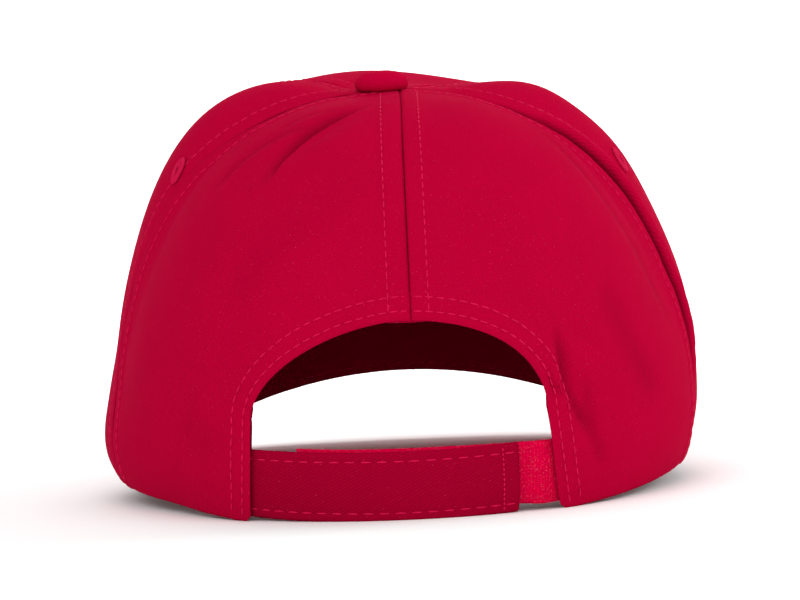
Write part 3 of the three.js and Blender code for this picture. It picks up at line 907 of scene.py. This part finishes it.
def cloth_finish(name, colour, angle=62, rib=0.72, contrast=0.55, depth=0.00003, pressed=0.85):
    """A cotton twill: ribs, uneven yarns, faint mottling, lint, painted shade along the seam lines, and
    painted shade in folds and grooves.
    """
    paint = Paint(name)
    weave = paint.weave()
    seam, hem, painted_shade_mask = (paint.attribute(kind) for kind in ("seam_gap", "hem_gap", "shade"))
    ribs = twill(paint, weave, math.radians(angle), rib)
    u, v = paint.split(weave)
    warp = paint.noise(paint.join(u * YARN_FINE, v * YARN_LONG), 1.0)
    weft = paint.noise(paint.join(u * YARN_LONG, v * YARN_FINE), 1.0)
    mottle = paint.noise(weave, 45.0, 4.0, 0.6)
    lint = paint.noise(weave, 2400.0, 0.0).within(0.78, 0.84)
    tone = ribs * contrast + (warp + weft - 1.0) * 0.22 + (mottle - 0.5) * 0.3 + 0.5
    # Painted shade in the narrow groove where two panels meet at a seam
    painted_seam_shade = 1.0 - seam.within(0.0, 0.4)
    base = paint.blend(shade(colour, 0.74), shade(colour, 1.26), tone.within(0.0, 1.0))
    base = paint.blend(base, shade(colour, 0.45), painted_seam_shade * 0.6)
    worn = (1.0 - hem.within(0.0, 1.1)) * 0.35
    base = paint.blend(base, shade(colour, 1.25), worn)
    base = paint.blend(base, LINT, lint * 0.3)
    # Painted shade in the folds and in the deep groove, from the mesh's shade attribute
    base = paint.blend(base, shade(colour, 0.16), painted_shade_mask * pressed)
    return paint.surface(base, ribs + (warp + weft) * 0.4, depth)


def thread_finish(name, colour):
    """A twisted sewing thread, a little shinier than the cloth."""
    paint = Paint(name)
    place = paint.node("ShaderNodeTexCoord", None, None, "Object")
    fibres = paint.noise(place, 3000.0)
    base = paint.blend(shade(colour, 0.8), shade(colour, 1.25), fibres.within(0.3, 0.7))
    return paint.surface(base, fibres, 0.00008, roughness=0.7, sheen=0.1, gloss=0.05)


def brushed_finish(name, colour):
    """A brushed loop or hook tape: a knitted ground under a fuzz."""
    paint = Paint(name)
    weave = paint.weave()
    u, v = paint.split(weave)
    fuzz = paint.noise(weave, 1900.0, 3.0, 0.7)
    tufts = paint.noise(weave, 620.0, 2.0, 0.6)
    wales = paint.sine(u * (1000 / 0.9) + fuzz * 0.4) * 0.5 + 0.5
    courses = paint.sine(v * (1000 / 0.75) + fuzz * 0.4) * 0.5 + 0.5
    tone = fuzz * 0.45 + tufts * 0.35 + (wales * 0.75 + courses * 0.25) * 0.2
    base = paint.blend(shade(colour, 0.78), shade(colour, 1.15), tone.within(0.28, 0.68))
    base = paint.blend(base, LOOP_TIPS, fuzz.within(0.64, 0.72) * 0.6)
    height = fuzz * 0.6 + tufts * 0.5 + wales * 0.2
    return paint.surface(base, height, 0.00012, roughness=0.95, sheen=0.25, tint=PALE_EDGE)


# Shapes of the pieces


def upright_spots(start, end):
    """Turn and height share of each place of a panel that reaches from the rim to the button."""

    def spots(s, t):
        turn = mix(start, end, s)
        rim = np.zeros_like(turn)
        for _ in range(8):
            point = crown(turn, rim)
            short = np.maximum(0, clear_of_peak(turn, point[..., 0], point[..., 1]) - point[..., 2])
            rim = np.where(short > 0.001, up_at_height(turn, shell(turn, rim)[..., 2] + short), rim)
        up = mix(rim, up_at_radius(turn, TIP_RADIUS), t)
        return bowed(turn, up), up

    return spots


def back_spots(ear):
    """The same for a back panel, whose lower edge follows the opening and then the rim."""
    side = ear[0]
    corner = ear_turn(ear)
    arch_turn = float(opening_edge(ear, 0.0)[0])

    def spots(s, t):
        out = s if side > 0 else 1 - s
        edge_turn, edge_up = opening_edge(ear, np.clip(out / EAR_COLUMNS, 0, 1))
        on_rim = out >= EAR_COLUMNS
        past_ear = (out - EAR_COLUMNS) / (1 - EAR_COLUMNS)
        rim_turn = np.where(on_rim, mix(corner, BACK_SEAM, past_ear), edge_turn)
        rim_up = np.where(on_rim, 0, edge_up)
        straight = mix(rim_turn, BACK_SEAM * out, t)
        up = mix(rim_up, up_at_radius(straight, TIP_RADIUS), t)
        to_seam = side * centre_seam(up) - arch_turn * (1 - t)
        return bowed(side * (straight + (1 - out) * to_seam), up), up

    return spots


def per_radian(turn):
    """Millimetres along the rim for a turn of one radian."""
    return np.hypot(HALF_WIDTH * np.cos(np.radians(turn)), HALF_LENGTH * np.sin(np.radians(turn)))


def laid_flat(name, turn, up):
    """How far places of a panel lie from its middle line and up from the rim, along the cloth."""
    middle = sum(PANELS[name][:2]) / 2
    heights = np.linspace(0, 1, 200)
    across = size_at(middle, up)[1] * per_radian(middle) * np.radians(signed(turn - middle))
    return across, np.interp(up, heights, lengths(shell(middle, heights), 0))


def opening_line(ear):
    """The opening's edge on the crown's outer face."""
    turn, up = opening_edge(ear, np.linspace(0, 1, 240))
    return crown(ear[0] * turn, up)


def panel_cloth(name, seed):
    """A crown panel with its sewn seams, its hem and the small unevenness of sewn cloth."""
    start, end = PANELS[name][:2]
    back = name.startswith("back")
    ear = LEFT_EAR if name.endswith("left") else RIGHT_EAR
    spots = back_spots(ear) if back else upright_spots(start, end)
    columns = FRONT_COLUMNS if name.startswith("front") else PANEL_COLUMNS
    cloth = Cloth(
        lambda s, t: crown(*spots(s, t)),
        lambda width: grid_lines(width, columns),
        lambda height: grid_lines(height, PANEL_ROWS, last=NEAR_EDGE[:6]),
    )
    cloth.weave = laid_flat(name, *spots(cloth.s, cloth.t))
    if back:
        cloth.opening = opening_line(ear)
        cloth.edge_gap = cloth.gap_to(cloth.opening)
    first_row, last_row, first_sink, last_sink, _ = SEAM_ROWS[name]
    relief = seam_relief(cloth.first, first_row, first_sink)
    relief = relief + seam_relief(cloth.last, last_row, last_sink)
    relief = relief + fold_relief(cloth, name) + groove_relief(cloth, name)
    cloth.raise_by(relief + hem_relief(cloth, back) + unevenness(cloth, seed))
    return cloth


def ribbon(start, end, height, rows, depth_at, rise=0.0):
    """A strip of cloth round the back, with its depth in from the crown's outer face at each turn."""
    lower = STRAP_LIFT + (STRAP_HEIGHT - height) / 2

    def place(s, t):
        turn = mix(start, end, s)
        z = lower + height * t + rise * smooth(1.6 * s)
        return crown(turn, up_at_height(turn, z), depth_at(turn))

    return edged_cloth(place, 90, rows, NEAR_EDGE[:11])


def along_rim(millimetres):
    """The turn that a length makes round the back."""
    return math.degrees(millimetres / HALF_WIDTH)


STRAP_START = ear_turn(LEFT_EAR) + along_rim(STRAP_ROOT)
STRAP_END = STRAP_START - along_rim(STRAP_LENGTH)
LOOP_START = -ear_turn(RIGHT_EAR) - along_rim(STRAP_ROOT)
LOOP_END = LOOP_START + along_rim(LOOP_LENGTH)
UNDER_EAR = WALL + CLEARANCE


def loop_depth(turn):
    under_strap = UNDER_EAR + STRAP_THICKNESS + CLEARANCE
    step = smooth((STRAP_END - along_rim(STEP_MARGIN) - turn) / along_rim(STEP_LENGTH))
    return mix(under_strap, UNDER_EAR, step)


def band_place(s, t):
    """The sweatband's inner face."""
    turn = mix(BAND_END, 360 - BAND_END, s)
    dip = (PEAK_THICKNESS + BAND_LIFT) * smooth((fold(turn) - BAND_DIP_START) / BAND_BLEND)
    z = rim_height(turn) + BAND_LIFT - dip + (BAND_HEIGHT + dip) * t
    root_end = max(ear_turn(LEFT_EAR), ear_turn(RIGHT_EAR)) + along_rim(STRAP_ROOT) + BAND_ROOT_MARGIN
    inset = (STRAP_THICKNESS + CLEARANCE) * smooth((root_end - fold(turn)) / BAND_BLEND)
    return lining(turn, up_at_height(turn, z), WALL + BAND_CLEARANCE + inset + BAND_THICKNESS)


def peak_outline(share):
    temple_x, temple_y = rim_plan(PEAK_TEMPLE)
    widest_y = temple_y - PEAK_WIDEST_AHEAD
    back = np.clip((share - PEAK_FRONT_SHARE) / (1 - PEAK_FRONT_SHARE), 0, 1)
    angle = np.pi / 2 * np.clip(share / PEAK_FRONT_SHARE, 0, 1)
    front = widest_y - (rim_plan(180)[1] - PEAK_REACH)
    x = np.where(
        share > PEAK_FRONT_SHARE,
        mix(PEAK_HALF_WIDTH, temple_x, back**2),
        PEAK_HALF_WIDTH * np.sin(angle) ** (2 / PEAK_FRONT_POWER),
    )
    y = np.where(
        share > PEAK_FRONT_SHARE,
        mix(widest_y, temple_y, back),
        widest_y - front * np.maximum(0, np.cos(angle)) ** (2 / PEAK_FRONT_POWER),
    )
    return x, y


def peak_place(depth):
    """The peak's face at a depth, across between the temples and inward from its outer edge to the rim."""

    def place(s, t):
        turn = mix(PEAK_TEMPLE, 360 - PEAK_TEMPLE, s)
        x, y = peak_outline(np.abs(2 * s - 1))
        inner = crown(turn, np.zeros_like(turn), WALL)
        x = mix(np.where(s < 0.5, 1, -1) * x, inner[..., 0], t)
        y = mix(y, inner[..., 1], t)
        steep = np.sqrt(x**2 / (PEAK_BEND_RADIUS**2 - x**2) + PEAK_SLOPE**2 + 1)
        return np.stack([x, y, peak_top(x, y) - steep * depth], -1)

    return place


def tape_place(seam):
    """A tape on the inside of a seam, which is a turn or, for 0, the centre seam."""

    def place(s, t):
        top = up_at_radius(seam, TIP_RADIUS + 2)
        low = opening_edge(LEFT_EAR, 0.0)[1] if seam == 0 else 0.0
        up = mix(low, top, t)
        line = centre_seam(up) if seam == 0 else bowed(seam, up)
        radius = size_at(line, up)[1] * per_radian(line)
        turn = line + np.degrees(np.clip((s - 0.5) * TAPE_WIDTH / np.maximum(6, radius), -0.6, 0.6))
        return crown(turn, up, TAPE_DEPTH)

    return place


# Add-on


def red(name, description, default):
    """A setting that holds a colour."""
    kind = bpy.props.FloatVectorProperty
    return kind(name=name, description=description, subtype="COLOR", default=default)


class CapSettings(bpy.types.PropertyGroup):
    """Colours and small sizes of the cap's cloth."""

    crimson: red("Crimson", "Colour of the crown and the peak", (0.34, 0.0002, 0.023))
    strap_red: red("Strap", "Colour of the strap", (0.245, 0.0002, 0.0165))
    loop_red: red("Loop tape", "Colour of the loop strip", (0.57, 0.0004, 0.038))
    thread_red: red("Thread", "Colour of the stitches", (0.56, 0.004, 0.055))
    cloth_thickness: bpy.props.FloatProperty(
        name="Cloth",
        description="Thickness of a crown panel with its seam, in millimetres",
        default=1.2,
        min=0.5,
        max=1.5,
    )


def settings():
    return bpy.context.scene.cap_settings


def remember(name, make, *values, **options):
    """A finish that is made once and shared."""
    return bpy.data.materials.get(name) or make(name, *values, **options)


def dress(piece, slot, *nodes):
    """Puts a finished piece on the frame in place of its nodes."""
    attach(piece, "root")
    if nodes:
        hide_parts(*nodes)


def dress_stitches(thread, name):
    """Puts a piece of stitches on the frame, beside the cloth that it is sewn in."""
    dress(thread.finish(name, remember("sewing_thread", thread_finish, settings().thread_red)), "thread")


def dress_sheet(name, cloth, wall, slot, nodes, finishes, grain=0.0):
    """Makes a cloth a piece with a wall. Where it has two finishes, the second is its wrong side's."""
    piece = make_piece(name, cloth_mesh(name, cloth, grain), *finishes)
    thicken(piece, wall, len(finishes) - 1)
    dress(piece, slot, *nodes)
    width, length = cloth.size
    area = min(cloth.area, width * length) / 1e6


class CAP_OT_crown(bpy.types.Operator):
    """Sew the crown from its five panels"""

    bl_idname = "cap.crown"
    bl_label = "Crown"

    def execute(self, context):
        thread = Thread()
        crimson, wall = settings().crimson, settings().cloth_thickness
        # The wrong side gets no painted shade from the folds
        wrong_side = remember("wrong_side", cloth_finish, crimson, pressed=0.0)
        finishes = (remember("crimson_twill", cloth_finish, crimson), wrong_side)
        for seed, name in enumerate(PANELS):
            cloth = panel_cloth(name, 10 * seed)
            grain = SEAM_ROWS[name][-1]
            dress_sheet(name + "_cloth", cloth, wall, "crown_twill", [name], finishes, grain)
            for edge, row in zip(("first", "last"), SEAM_ROWS[name]):
                thread.sew(cloth.row(edge, row, PROUD), skip=2.5, end=3)
            if name.startswith("back"):
                for row in HEM_ROWS:
                    thread.sew(cloth.beside(cloth.opening, row, PROUD), fill=0.84, skip=0.4, end=0.8)
        dress_stitches(thread, "crown_stitching")
        return {"FINISHED"}


class CAP_OT_button(bpy.types.Operator):
    """Cover the button on top"""

    bl_idname = "cap.button"
    bl_label = "Button"

    def execute(self, context):
        bm = bmesh.new()
        verts = [bm.verts.new((radius, 0, z)) for radius, z in BUTTON_OUTLINE]
        outline = verts + [bm.edges.new(pair) for pair in zip(verts, verts[1:])]
        centre, upward = (0, 0, 0), (0, 0, 1)
        bmesh.ops.spin(
            bm, geom=outline, cent=centre, axis=upward, angle=2 * math.pi, steps=64, use_merge=True
        )
        bmesh.ops.remove_doubles(bm, verts=bm.verts, dist=1e-4)
        bmesh.ops.edgeloop_fill(bm, edges=[edge for edge in bm.edges if edge.is_boundary])
        bmesh.ops.recalc_face_normals(bm, faces=bm.faces)
        layer = bm.loops.layers.uv.new("weave")
        for face in bm.faces:
            face.smooth = True
            for loop in face.loops:
                x, y, z = loop.vert.co
                spread = 1 + max(0.0, BUTTON_TOP - z) / (math.hypot(x, y) + 1e-6)
                loop[layer].uv = (x * spread / 1000, y * spread / 1000)
        for vert in bm.verts:
            vert.co = self.gathered(*vert.co)
        seat = to_world(np.array([BUTTON_SIDE, BUTTON_BACK, HEIGHT + CLEARANCE]))
        low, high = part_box("top_button")
        if abs(seat[0] - (low.x + high.x) / 2) > 0.001:
            raise RuntimeError("the button isn't on its node")
        lean = Matrix.Rotation(-REST_TILT, 4, "X")
        bm.transform(Matrix.Translation(Vector(seat)) @ lean @ Matrix.Scale(0.001, 4))
        # The button's cloth is a lighter copy of the crimson: painted light on its upright side, which the
        # lamps light less than the crown
        finish = remember("button_twill", cloth_finish, shade(settings().crimson, 1.36), rib=0.6)
        piece = make_piece("button_cover", mesh_from(bm, "button_cover"), finish)
        dress(piece, "crown_twill", "top_button")
        return {"FINISHED"}

    @staticmethod
    def gathered(x, y, z):
        """A place on the cover once its cloth is gathered below and a little uneven on top."""
        around, out = math.atan2(y, x), math.hypot(x, y)
        gather = max(0.0, (out - 4.5) / 3) * max(0.0, 1 - z / 4.5)
        pull = 1 + 0.02 * gather * math.sin(17 * around + 2 * math.sin(3 * around))
        soft = 0.12 * math.sin(2 * around + 0.6) * (out / BUTTON_RADIUS) ** 2
        return x * pull, y * pull, max(0.0, z + soft * min(1.0, z / 2))


class CAP_OT_strap(bpy.types.Operator):
    """Close the back opening with the strap and its loop strip"""

    bl_idname = "cap.strap"
    bl_label = "Strap"

    def execute(self, context):
        thread = self.strap()
        loop = self.loop_strip()
        dress_stitches(thread, "strap_stitching")
        self.fuzz(loop)
        return {"FINISHED"}

    @staticmethod
    def strap():
        """The twill strap with its hook side, and the stitches for its three rows."""
        cloth = ribbon(STRAP_END, STRAP_START, STRAP_HEIGHT, 18, lambda turn: UNDER_EAR)
        rows = {"hem": STRAP_ROW, "top": STRAP_ROW, "first": STRAP_END_ROW}
        relief = 0.12 * wander(cloth.first, cloth.hem, 30, 71)
        for edge, row in rows.items():
            gap = getattr(cloth, edge)
            relief = relief - 0.5 * bell(gap / 0.45) - 0.16 * bell((gap - row) / 0.45)
        cloth.raise_by(relief)
        colour = settings().strap_red
        coarse = {"rib": 0.82, "contrast": 0.6, "depth": 0.00005}
        twill_side = remember("strap_cover", cloth_finish, colour, 153, **coarse)
        hooks = remember("hook_tape", brushed_finish, shade(colour, 0.8))
        dress_sheet(
            "strap_cloth",
            cloth,
            STRAP_WALL,
            "strap_twill",
            ["strap"],
            (twill_side, hooks),
        )
        thread = Thread()
        for edge in ("hem", "top"):
            thread.sew(cloth.row(edge, rows[edge], PROUD), pitch=4.3, fill=0.7, skip=0.8)
        thread.sew(cloth.row("first", STRAP_END_ROW, PROUD), pitch=1.3, fill=0.75, skip=1, end=1)
        return thread

    @staticmethod
    def loop_strip():
        """The brushed strip that runs on under the strap."""
        cloth = ribbon(LOOP_START, LOOP_END, LOOP_HEIGHT, 20, loop_depth, LOOP_RISE)
        edges = bell(cloth.hem / 0.4) + bell(cloth.top / 0.4)
        cloth.raise_by(0.1 * wander(cloth.first, cloth.hem, 6, 81) - 0.35 * edges)
        finish = remember("loop_tape", brushed_finish, settings().loop_red)
        dress_sheet(
            "loop_strip_cloth",
            cloth,
            LOOP_WALL,
            "brushed_loop",
            ["loop_strip"],
            [finish],
        )
        return cloth

    @staticmethod
    def fuzz(loop):
        """Short fibres that stand out of the loop tape."""
        dice = random.Random(5)
        thread = Thread()
        rows, columns = loop.points.shape[:2]
        places, normals = to_world(loop.points), turned(loop.normal)
        for _ in range(FIBRES):
            j, i = dice.randrange(1, rows - 1), dice.randrange(1, columns - 1)
            normal = normals[j, i]
            start = places[j, i] + normal * dice.uniform(0, 0.00012)
            heading = np.array([dice.gauss(0, 1) for _ in range(3)])
            heading = unit(heading - normal * (heading @ normal) * 0.75)
            thread.stitch(start, start + heading * dice.uniform(0.0004, 0.0011), normal, 0.00007, 0.00007)
        finish = remember("loop_fibre", thread_finish, FIBRE)
        dress(thread.finish("loop_fuzz", finish), "brushed_loop")


class CAP_OT_peak(bpy.types.Operator):
    """Cover the peak and stitch it in rows"""

    bl_idname = "cap.peak"
    bl_label = "Peak"

    def execute(self, context):
        thread = Thread()
        bm = bmesh.new()
        for below in (False, True):
            cloth = self.face(below)
            for row in PEAK_ROWS:
                thread.sew(cloth.row("hem", row, BAND_PROUD), skip=3, end=3)
            mesh = cloth_mesh("peak_face", cloth)
            bm.from_mesh(mesh)
            bpy.data.meshes.remove(mesh)
        edge = [vert for vert in bm.verts if vert.is_boundary]
        bmesh.ops.remove_doubles(bm, verts=edge, dist=PEAK_WELD / 1000)
        finish = remember("peak_cover", cloth_finish, settings().crimson, 45)
        piece = make_piece("peak_cloth", mesh_from(bm, "peak_cloth"), finish)
        dress(piece, "peak_twill", "peak")
        dress_stitches(thread, "peak_stitching")
        return {"FINISHED"}

    @staticmethod
    def face(below):
        """One face of the peak, rolled over at its edges to meet the other one."""
        cloth = Cloth(
            peak_place(PEAK_THICKNESS - PEAK_INSET if below else PEAK_INSET),
            lambda width: grid_lines(width, 120, NEAR_EDGE[:6], NEAR_EDGE[:6]),
            lambda length: grid_lines(length, 64),
        )
        if below:
            cloth.normal = -cloth.normal
        edge = np.minimum(np.minimum(cloth.hem, cloth.top), np.minimum(cloth.first, cloth.last))
        roll = np.clip(1 - edge / PEAK_ROLL, 0, 1)
        relief = -(PEAK_THICKNESS / 2 - PEAK_INSET) * (1 - np.sqrt(np.maximum(0, 1 - roll**2)))
        for row in PEAK_ROWS:
            relief = relief - 0.24 * bell((cloth.hem - row) / 0.5)
        cloth.raise_by(relief + 0.12 * wander(cloth.first, cloth.hem, 9, 31 + below) * smooth(edge / 2))
        return cloth


class CAP_OT_inside(bpy.types.Operator):
    """Line the crown with its sweatband and its seam tapes"""

    bl_idname = "cap.inside"
    bl_label = "Inside"

    def execute(self, context):
        thread = Thread()
        self.band(thread)
        for name, seam in TAPES.items():
            self.tape(thread, name, seam)
        dress_stitches(thread, "inner_stitching")
        return {"FINISHED"}

    @staticmethod
    def band(thread):
        """The sweatband, a little padded between its two rows."""
        cloth = edged_cloth(band_place, 260, 20, NEAR_EDGE[:9], True)
        waves = 0.2 * wander(cloth.first, cloth.hem, 24, 91)
        relief = 0.35 * smooth(cloth.hem / 6) * smooth(cloth.top / 6)
        relief = relief + waves * smooth(cloth.hem / 4) * smooth(cloth.top / 4)
        for edge, row in BAND_ROWS.items():
            gap = getattr(cloth, edge)
            relief = relief - 0.2 * bell((gap - row) / 0.5) - 0.35 * bell(gap / 0.4)
        cloth.raise_by(relief)
        finish = remember("band_twill", cloth_finish, shade(settings().crimson, 0.9), 40, rib=0.8)
        dress_sheet("sweatband_cloth", cloth, BAND_WALL, "band_cloth", ["sweatband"], [finish])
        for edge, row in BAND_ROWS.items():
            thread.sew(cloth.row(edge, row, BAND_PROUD), pitch=3.4)

    @staticmethod
    def tape(thread, name, seam):
        """The tape that covers one seam's allowance."""
        cloth = Cloth(
            tape_place(seam),
            lambda width: np.linspace(0, width, 17),
            lambda length: np.linspace(0, length, 90),
            True,
        )
        relief = 0.25 * bell((cloth.first - TAPE_WIDTH / 2) / 1.6)
        for gap in (cloth.first, cloth.last):
            relief = relief - 0.12 * bell((gap - TAPE_ROW) / 0.5)
        if name == "right":
            relief = relief + TAPE_RAISE * deep_groove(cloth, cloth.first)
        cloth.raise_by(relief)
        finish = remember("tape_cloth", cloth_finish, shade(settings().crimson, 0.94), 0, rib=0.55)
        dress_sheet("seam_tape_" + name, cloth, TAPE_WALL, "band_cloth", [], [finish])
        for edge in ("first", "last"):
            thread.sew(cloth.row(edge, TAPE_ROW, TAPE_PROUD))


class CAP_OT_eyelets(bpy.types.Operator):
    """Embroider the two eyelets"""

    bl_idname = "cap.eyelets"
    bl_label = "Eyelets"

    def execute(self, context):
        finish = remember("eyelet_thread", thread_finish, shade(settings().thread_red, 0.9))
        for name, (turn, up) in EYELETS.items():
            here = crown(turn, up)
            per_turn = np.linalg.norm(crown(turn + 1, up) - here)
            per_up = np.linalg.norm(crown(turn, up + 0.01) - here) / 0.01
            normal = turned(outward(turn, up))

            def spot(radius, angle):
                across, above = radius * math.cos(angle) / per_turn, radius * math.sin(angle) / per_up
                return to_world(crown(turn + across, up + above, -EYELET_PROUD))

            thread = Thread()
            for angle in np.arange(SPOKES) * 2 * math.pi / SPOKES:
                start, end = spot(EYELET_HOLE, angle), spot(EYELET_REACH, angle + 0.05)
                thread.stitch(start, end, normal, 0.00075, 0.0011)
            step = 2 * math.pi / RING_STITCHES
            for angle in np.arange(RING_STITCHES) * step:
                start, end = spot(EYELET_RING, angle), spot(EYELET_RING, angle + 1.6 * step)
                thread.stitch(start, end, normal, 0.0006, 0.0012)
            dress(thread.finish(name + "_embroidery", finish), "thread", name)
        return {"FINISHED"}


class CAP_OT_stage(bpy.types.Operator):
    """Set up the floor, the light and the camera"""

    bl_idname = "cap.stage"
    bl_label = "Stage"

    def execute(self, context):
        self.sweep()
        self.lights()
        self.camera()
        scene = context.scene
        scene.view_settings.view_transform = "Standard"
        scene.view_settings.look = "None"
        return {"FINISHED"}

    @staticmethod
    def sweep():
        """A floor that curves up into a backdrop."""
        bm = bmesh.new()
        profile = [(FLOOR_FRONT, 0.0), (FLOOR_BACK, 0.0)]
        for angle in np.linspace(0.1, math.pi / 2, 12):
            along, rise = BACKDROP_BEND * math.sin(angle), BACKDROP_BEND * (1 - math.cos(angle))
            profile.append((FLOOR_BACK - along, rise))
        profile.append((FLOOR_BACK - BACKDROP_BEND, BACKDROP_TOP))
        verts = [bm.verts.new((-FLOOR_SIDE, y, z)) for y, z in profile]
        edges = [bm.edges.new(pair) for pair in zip(verts, verts[1:])]
        made = bmesh.ops.extrude_edge_only(bm, edges=edges)
        moved = [v for v in made["geom"] if isinstance(v, bmesh.types.BMVert)]
        bmesh.ops.translate(bm, verts=moved, vec=(2 * FLOOR_SIDE, 0, 0))
        bmesh.ops.recalc_face_normals(bm, faces=bm.faces)
        for face in bm.faces:
            face.smooth = True
        white = {"Base Color": (0.93, 0.93, 0.93, 1), "Roughness": 0.9, "Specular IOR Level": 0.0}
        make_piece("sweep", mesh_from(bm, "sweep"), Paint("pale_sweep").end(white))

    @staticmethod
    def lights():
        world = bpy.data.worlds.new("studio")
        bpy.context.scene.world = world
        world.use_nodes = True
        background = world.node_tree.nodes["Background"]
        background.inputs["Color"].default_value = (1, 1, 1, 1)
        background.inputs["Strength"].default_value = WORLD_LIGHT
        for name, place, aim, size, power in LAMPS:
            light = bpy.data.lights.new(name, "AREA")
            light.energy = power
            light.size = size
            lamp = bpy.data.objects.new(name, light)
            bpy.context.scene.collection.objects.link(lamp)
            lamp.location = place
            lamp.rotation_mode = "QUATERNION"
            lamp.rotation_quaternion = (Vector(aim) - Vector(place)).to_track_quat("-Z", "Y")

    @staticmethod
    def camera():
        """A long lens behind the cap, a little above the floor and rolled as the cap leans in the view."""
        lens = bpy.data.cameras.new("camera")
        lens.sensor_width = 36.0
        lens.lens = LENS
        lens.clip_start, lens.clip_end = 0.05, 20.0
        camera = bpy.data.objects.new("camera", lens)
        bpy.context.scene.collection.objects.link(camera)
        rise = VIEW_CLIMB - REST_TILT
        back = Vector((0, math.cos(rise), math.sin(rise)))
        place = Matrix.Translation(Vector(to_world(AIM)) + back)
        look = (-back).to_track_quat("-Z", "Y").to_matrix().to_4x4()
        camera.matrix_world = place @ look @ Matrix.Rotation(VIEW_ROLL, 4, "Z")
        bpy.context.scene.camera = camera


class CAP_PT_panel(bpy.types.Panel):
    """Lists the steps that build the cap."""

    bl_label = "Five panel cap"
    bl_idname = "CAP_PT_panel"
    bl_space_type = "VIEW_3D"
    bl_region_type = "UI"
    bl_category = "Cap"

    def draw(self, context):
        for name in ("crimson", "strap_red", "loop_red", "thread_red", "cloth_thickness"):
            self.layout.prop(context.scene.cap_settings, name)
        for step in STEPS:
            self.layout.operator(step.bl_idname)


STEPS = (
    CAP_OT_stage,
    CAP_OT_crown,
    CAP_OT_button,
    CAP_OT_strap,
    CAP_OT_peak,
    CAP_OT_inside,
    CAP_OT_eyelets,
)
CLASSES = (CapSettings, *STEPS, CAP_PT_panel)


def register():
    for made in CLASSES:
        bpy.utils.register_class(made)
    bpy.types.Scene.cap_settings = bpy.props.PointerProperty(type=CapSettings)


def unregister():
    del bpy.types.Scene.cap_settings
    for made in reversed(CLASSES):
        bpy.utils.unregister_class(made)


def main():
    register()
    for step in STEPS:
        category, name = step.bl_idname.split(".")
        getattr(getattr(bpy.ops, category), name)()


if __name__ == "__main__":
    main()
